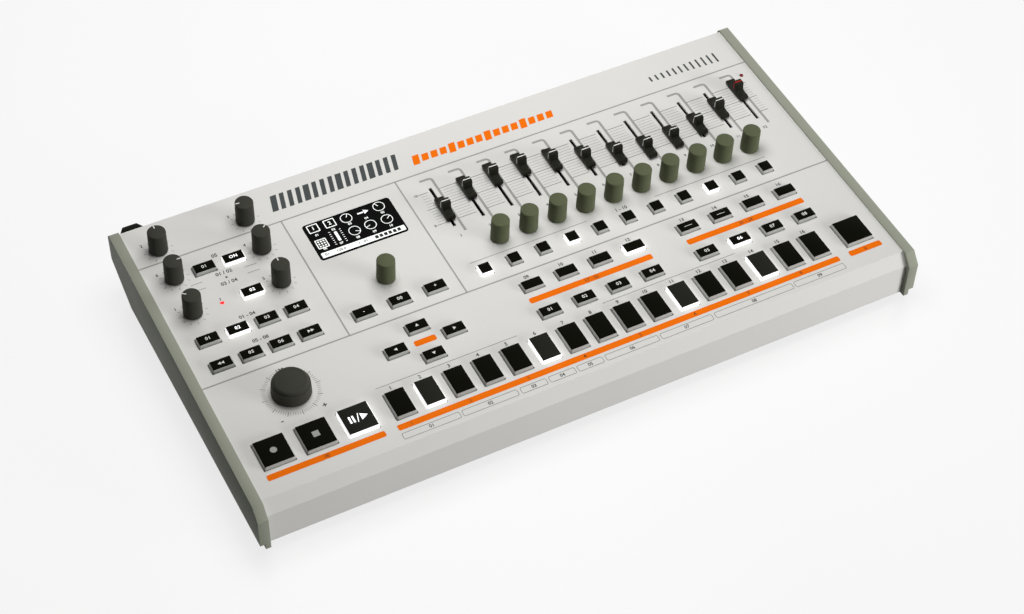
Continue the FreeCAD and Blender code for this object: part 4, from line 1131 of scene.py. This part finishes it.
# Plain numbers over the sockets, and ON and OFF at the power rocker.
NUMBER_RISE, WORD_RISE = 11.2, 10.6
rear_print = [words(str(number), on_rear(name).x, on_rear(name).y + NUMBER_RISE, 3.6)
              for number, name in enumerate(jack_names + din_names, start=1)]
rocker_low, rocker_high = (Vector(corner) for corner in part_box("power_rocker"))
rocker_middle = REAR.inverted() @ ((rocker_low + rocker_high) / 2)
for word, rise in (("ON", WORD_RISE), ("OFF", -WORD_RISE)):
    rear_print.append(words(word, rocker_middle.x, rocker_middle.y + rise, 2.8))
settle(joined(rear_print), "rear_numbers", "white_mark", "root", place=REAR)


# Screws: pan heads with a cross recess, each where the case has its hole.
HEAD_RADIUS, HEAD_HEIGHT = 2.8, 1.6
SHANK_RADIUS = 1.4
RECESS = (3.4, 0.8)


def screw(length):
    """A screw that points down, with its head's top at its own origin."""
    head = turned([(0, -HEAD_HEIGHT), (HEAD_RADIUS, -HEAD_HEIGHT), (HEAD_RADIUS, -0.9), (2.55, -0.4),
                   (2.0, -0.1), (0, 0)], 32)
    carve(head, joined([bar(0, 0, -1.0, *RECESS, 2), bar(0, 0, -1.0, *reversed(RECESS), 2)]))
    shank = bevel(post(0, 0, -length, SHANK_RADIUS, length - HEAD_HEIGHT + 0.1, 24), 0.3, 1)
    return joined([head, shank])


# The way that a screw's head faces, by the axis along which the screw lies.
OUTWARD = {0: Vector((1, 0, 0)), 1: Vector((0, 1, 0)), 2: Vector((0, 0, -1))}
screws, screw_models = [], {}
for low, high in solids("case_screws", WORLD):
    size, middle = high - low, (low + high) / 2
    axis = max(range(3), key=lambda index: size[index])
    out = OUTWARD[axis] * (-1 if axis == 0 and middle.x < 0 else 1)
    length = round(size[axis], 2)
    if length not in screw_models:
        screw_models[length] = screw(length)
    tip = middle + out * length / 2
    twin = copy_at(screw_models[length])
    twin.matrix_world = Matrix.Translation(tip) @ out.to_track_quat("Z", "Y").to_matrix().to_4x4()
    screws.append(twin)
drop(*screw_models.values())
settle(joined(screws), "pan_head_screws", "screw_steel", "root", ["case_screws"], WORLD)
soft_copy("rubber_feet", "rubber_feet_moulding", "foot_rubber", "root", 0.8)
drop(BLANK)

# The floor, the light and the camera.
FLOOR_SIZE, FLOOR_DROP = 30, 0.0002
FLOOR_SHOWN = (0.79, 0.79, 0.79, 1)
SKY_ON_OBJECT, SKY_SHOWN = 0.03, 0.95
bpy.ops.mesh.primitive_plane_add(size=FLOOR_SIZE, location=(0, 0, -FLOOR_DROP))
floor = bpy.context.object
floor.name = "floor"
paper = Recipe("pale_paper", Roughness=0.25, Emission_Strength=1.0)
cloud = paper.noise(1.2, 2.0)
paper.into(Base_Color=paper.blend(cloud * 0.3, (0.14, 0.14, 0.14, 1), (0.13, 0.13, 0.13, 1)))
paper.into(Emission_Color=paper.blend(paper.shown_rays(), (0, 0, 0, 1), FLOOR_SHOWN))
floor.data.materials.append(paper.material)

world = bpy.data.worlds.new("studio")
bpy.context.scene.world = world
world.use_nodes = True
sky = Wiring(world.node_tree)
backdrop = sky.tree.nodes["Background"]
backdrop.inputs["Color"].default_value = (1, 1, 1, 1)
sky.feed(backdrop.inputs["Strength"], sky.shown_rays() * (SKY_SHOWN - SKY_ON_OBJECT) + SKY_ON_OBJECT)


def lamp(name, spot, target, size, power):
    """A square soft lamp that lights the object and shows in nothing: places and size in metres."""
    bpy.ops.object.light_add(type="AREA", location=spot)
    light = bpy.context.object
    light.name = name
    light.data.size = size
    light.data.energy = power
    light.visible_glossy = False
    light.visible_camera = False
    light.rotation_euler = (Vector(target) - Vector(spot)).to_track_quat("-Z", "Y").to_euler()


lamp("overhead", (0.04, 0.14, 0.72), (0.03, 0.1, 0.05), 0.5, 5.15)
lamp("front_fill", (1.3, -1.5, 0.3), (0, 0, 0.03), 0.9, 42.0)

# The camera's place and its two directions, as fitted to the photograph's edges.
CAMERA_SPOT = (-0.4918, -0.8987, 1.0944)
VIEW_OUT = Vector((-0.32477, -0.59411, 0.73590))
VIEW_UP = Vector((0.33018, 0.65791, 0.67686))
SENSOR_WIDTH, LENS = 36, 74.48
bpy.ops.object.camera_add(location=CAMERA_SPOT)
camera = bpy.context.object
camera.rotation_euler = Matrix((VIEW_UP.cross(VIEW_OUT), VIEW_UP, VIEW_OUT)).transposed().to_euler()
camera.data.sensor_width = SENSOR_WIDTH
camera.data.lens = LENS
camera.data.clip_end = 50
bpy.context.scene.camera = camera
bpy.context.scene.view_settings.view_transform = "Standard"
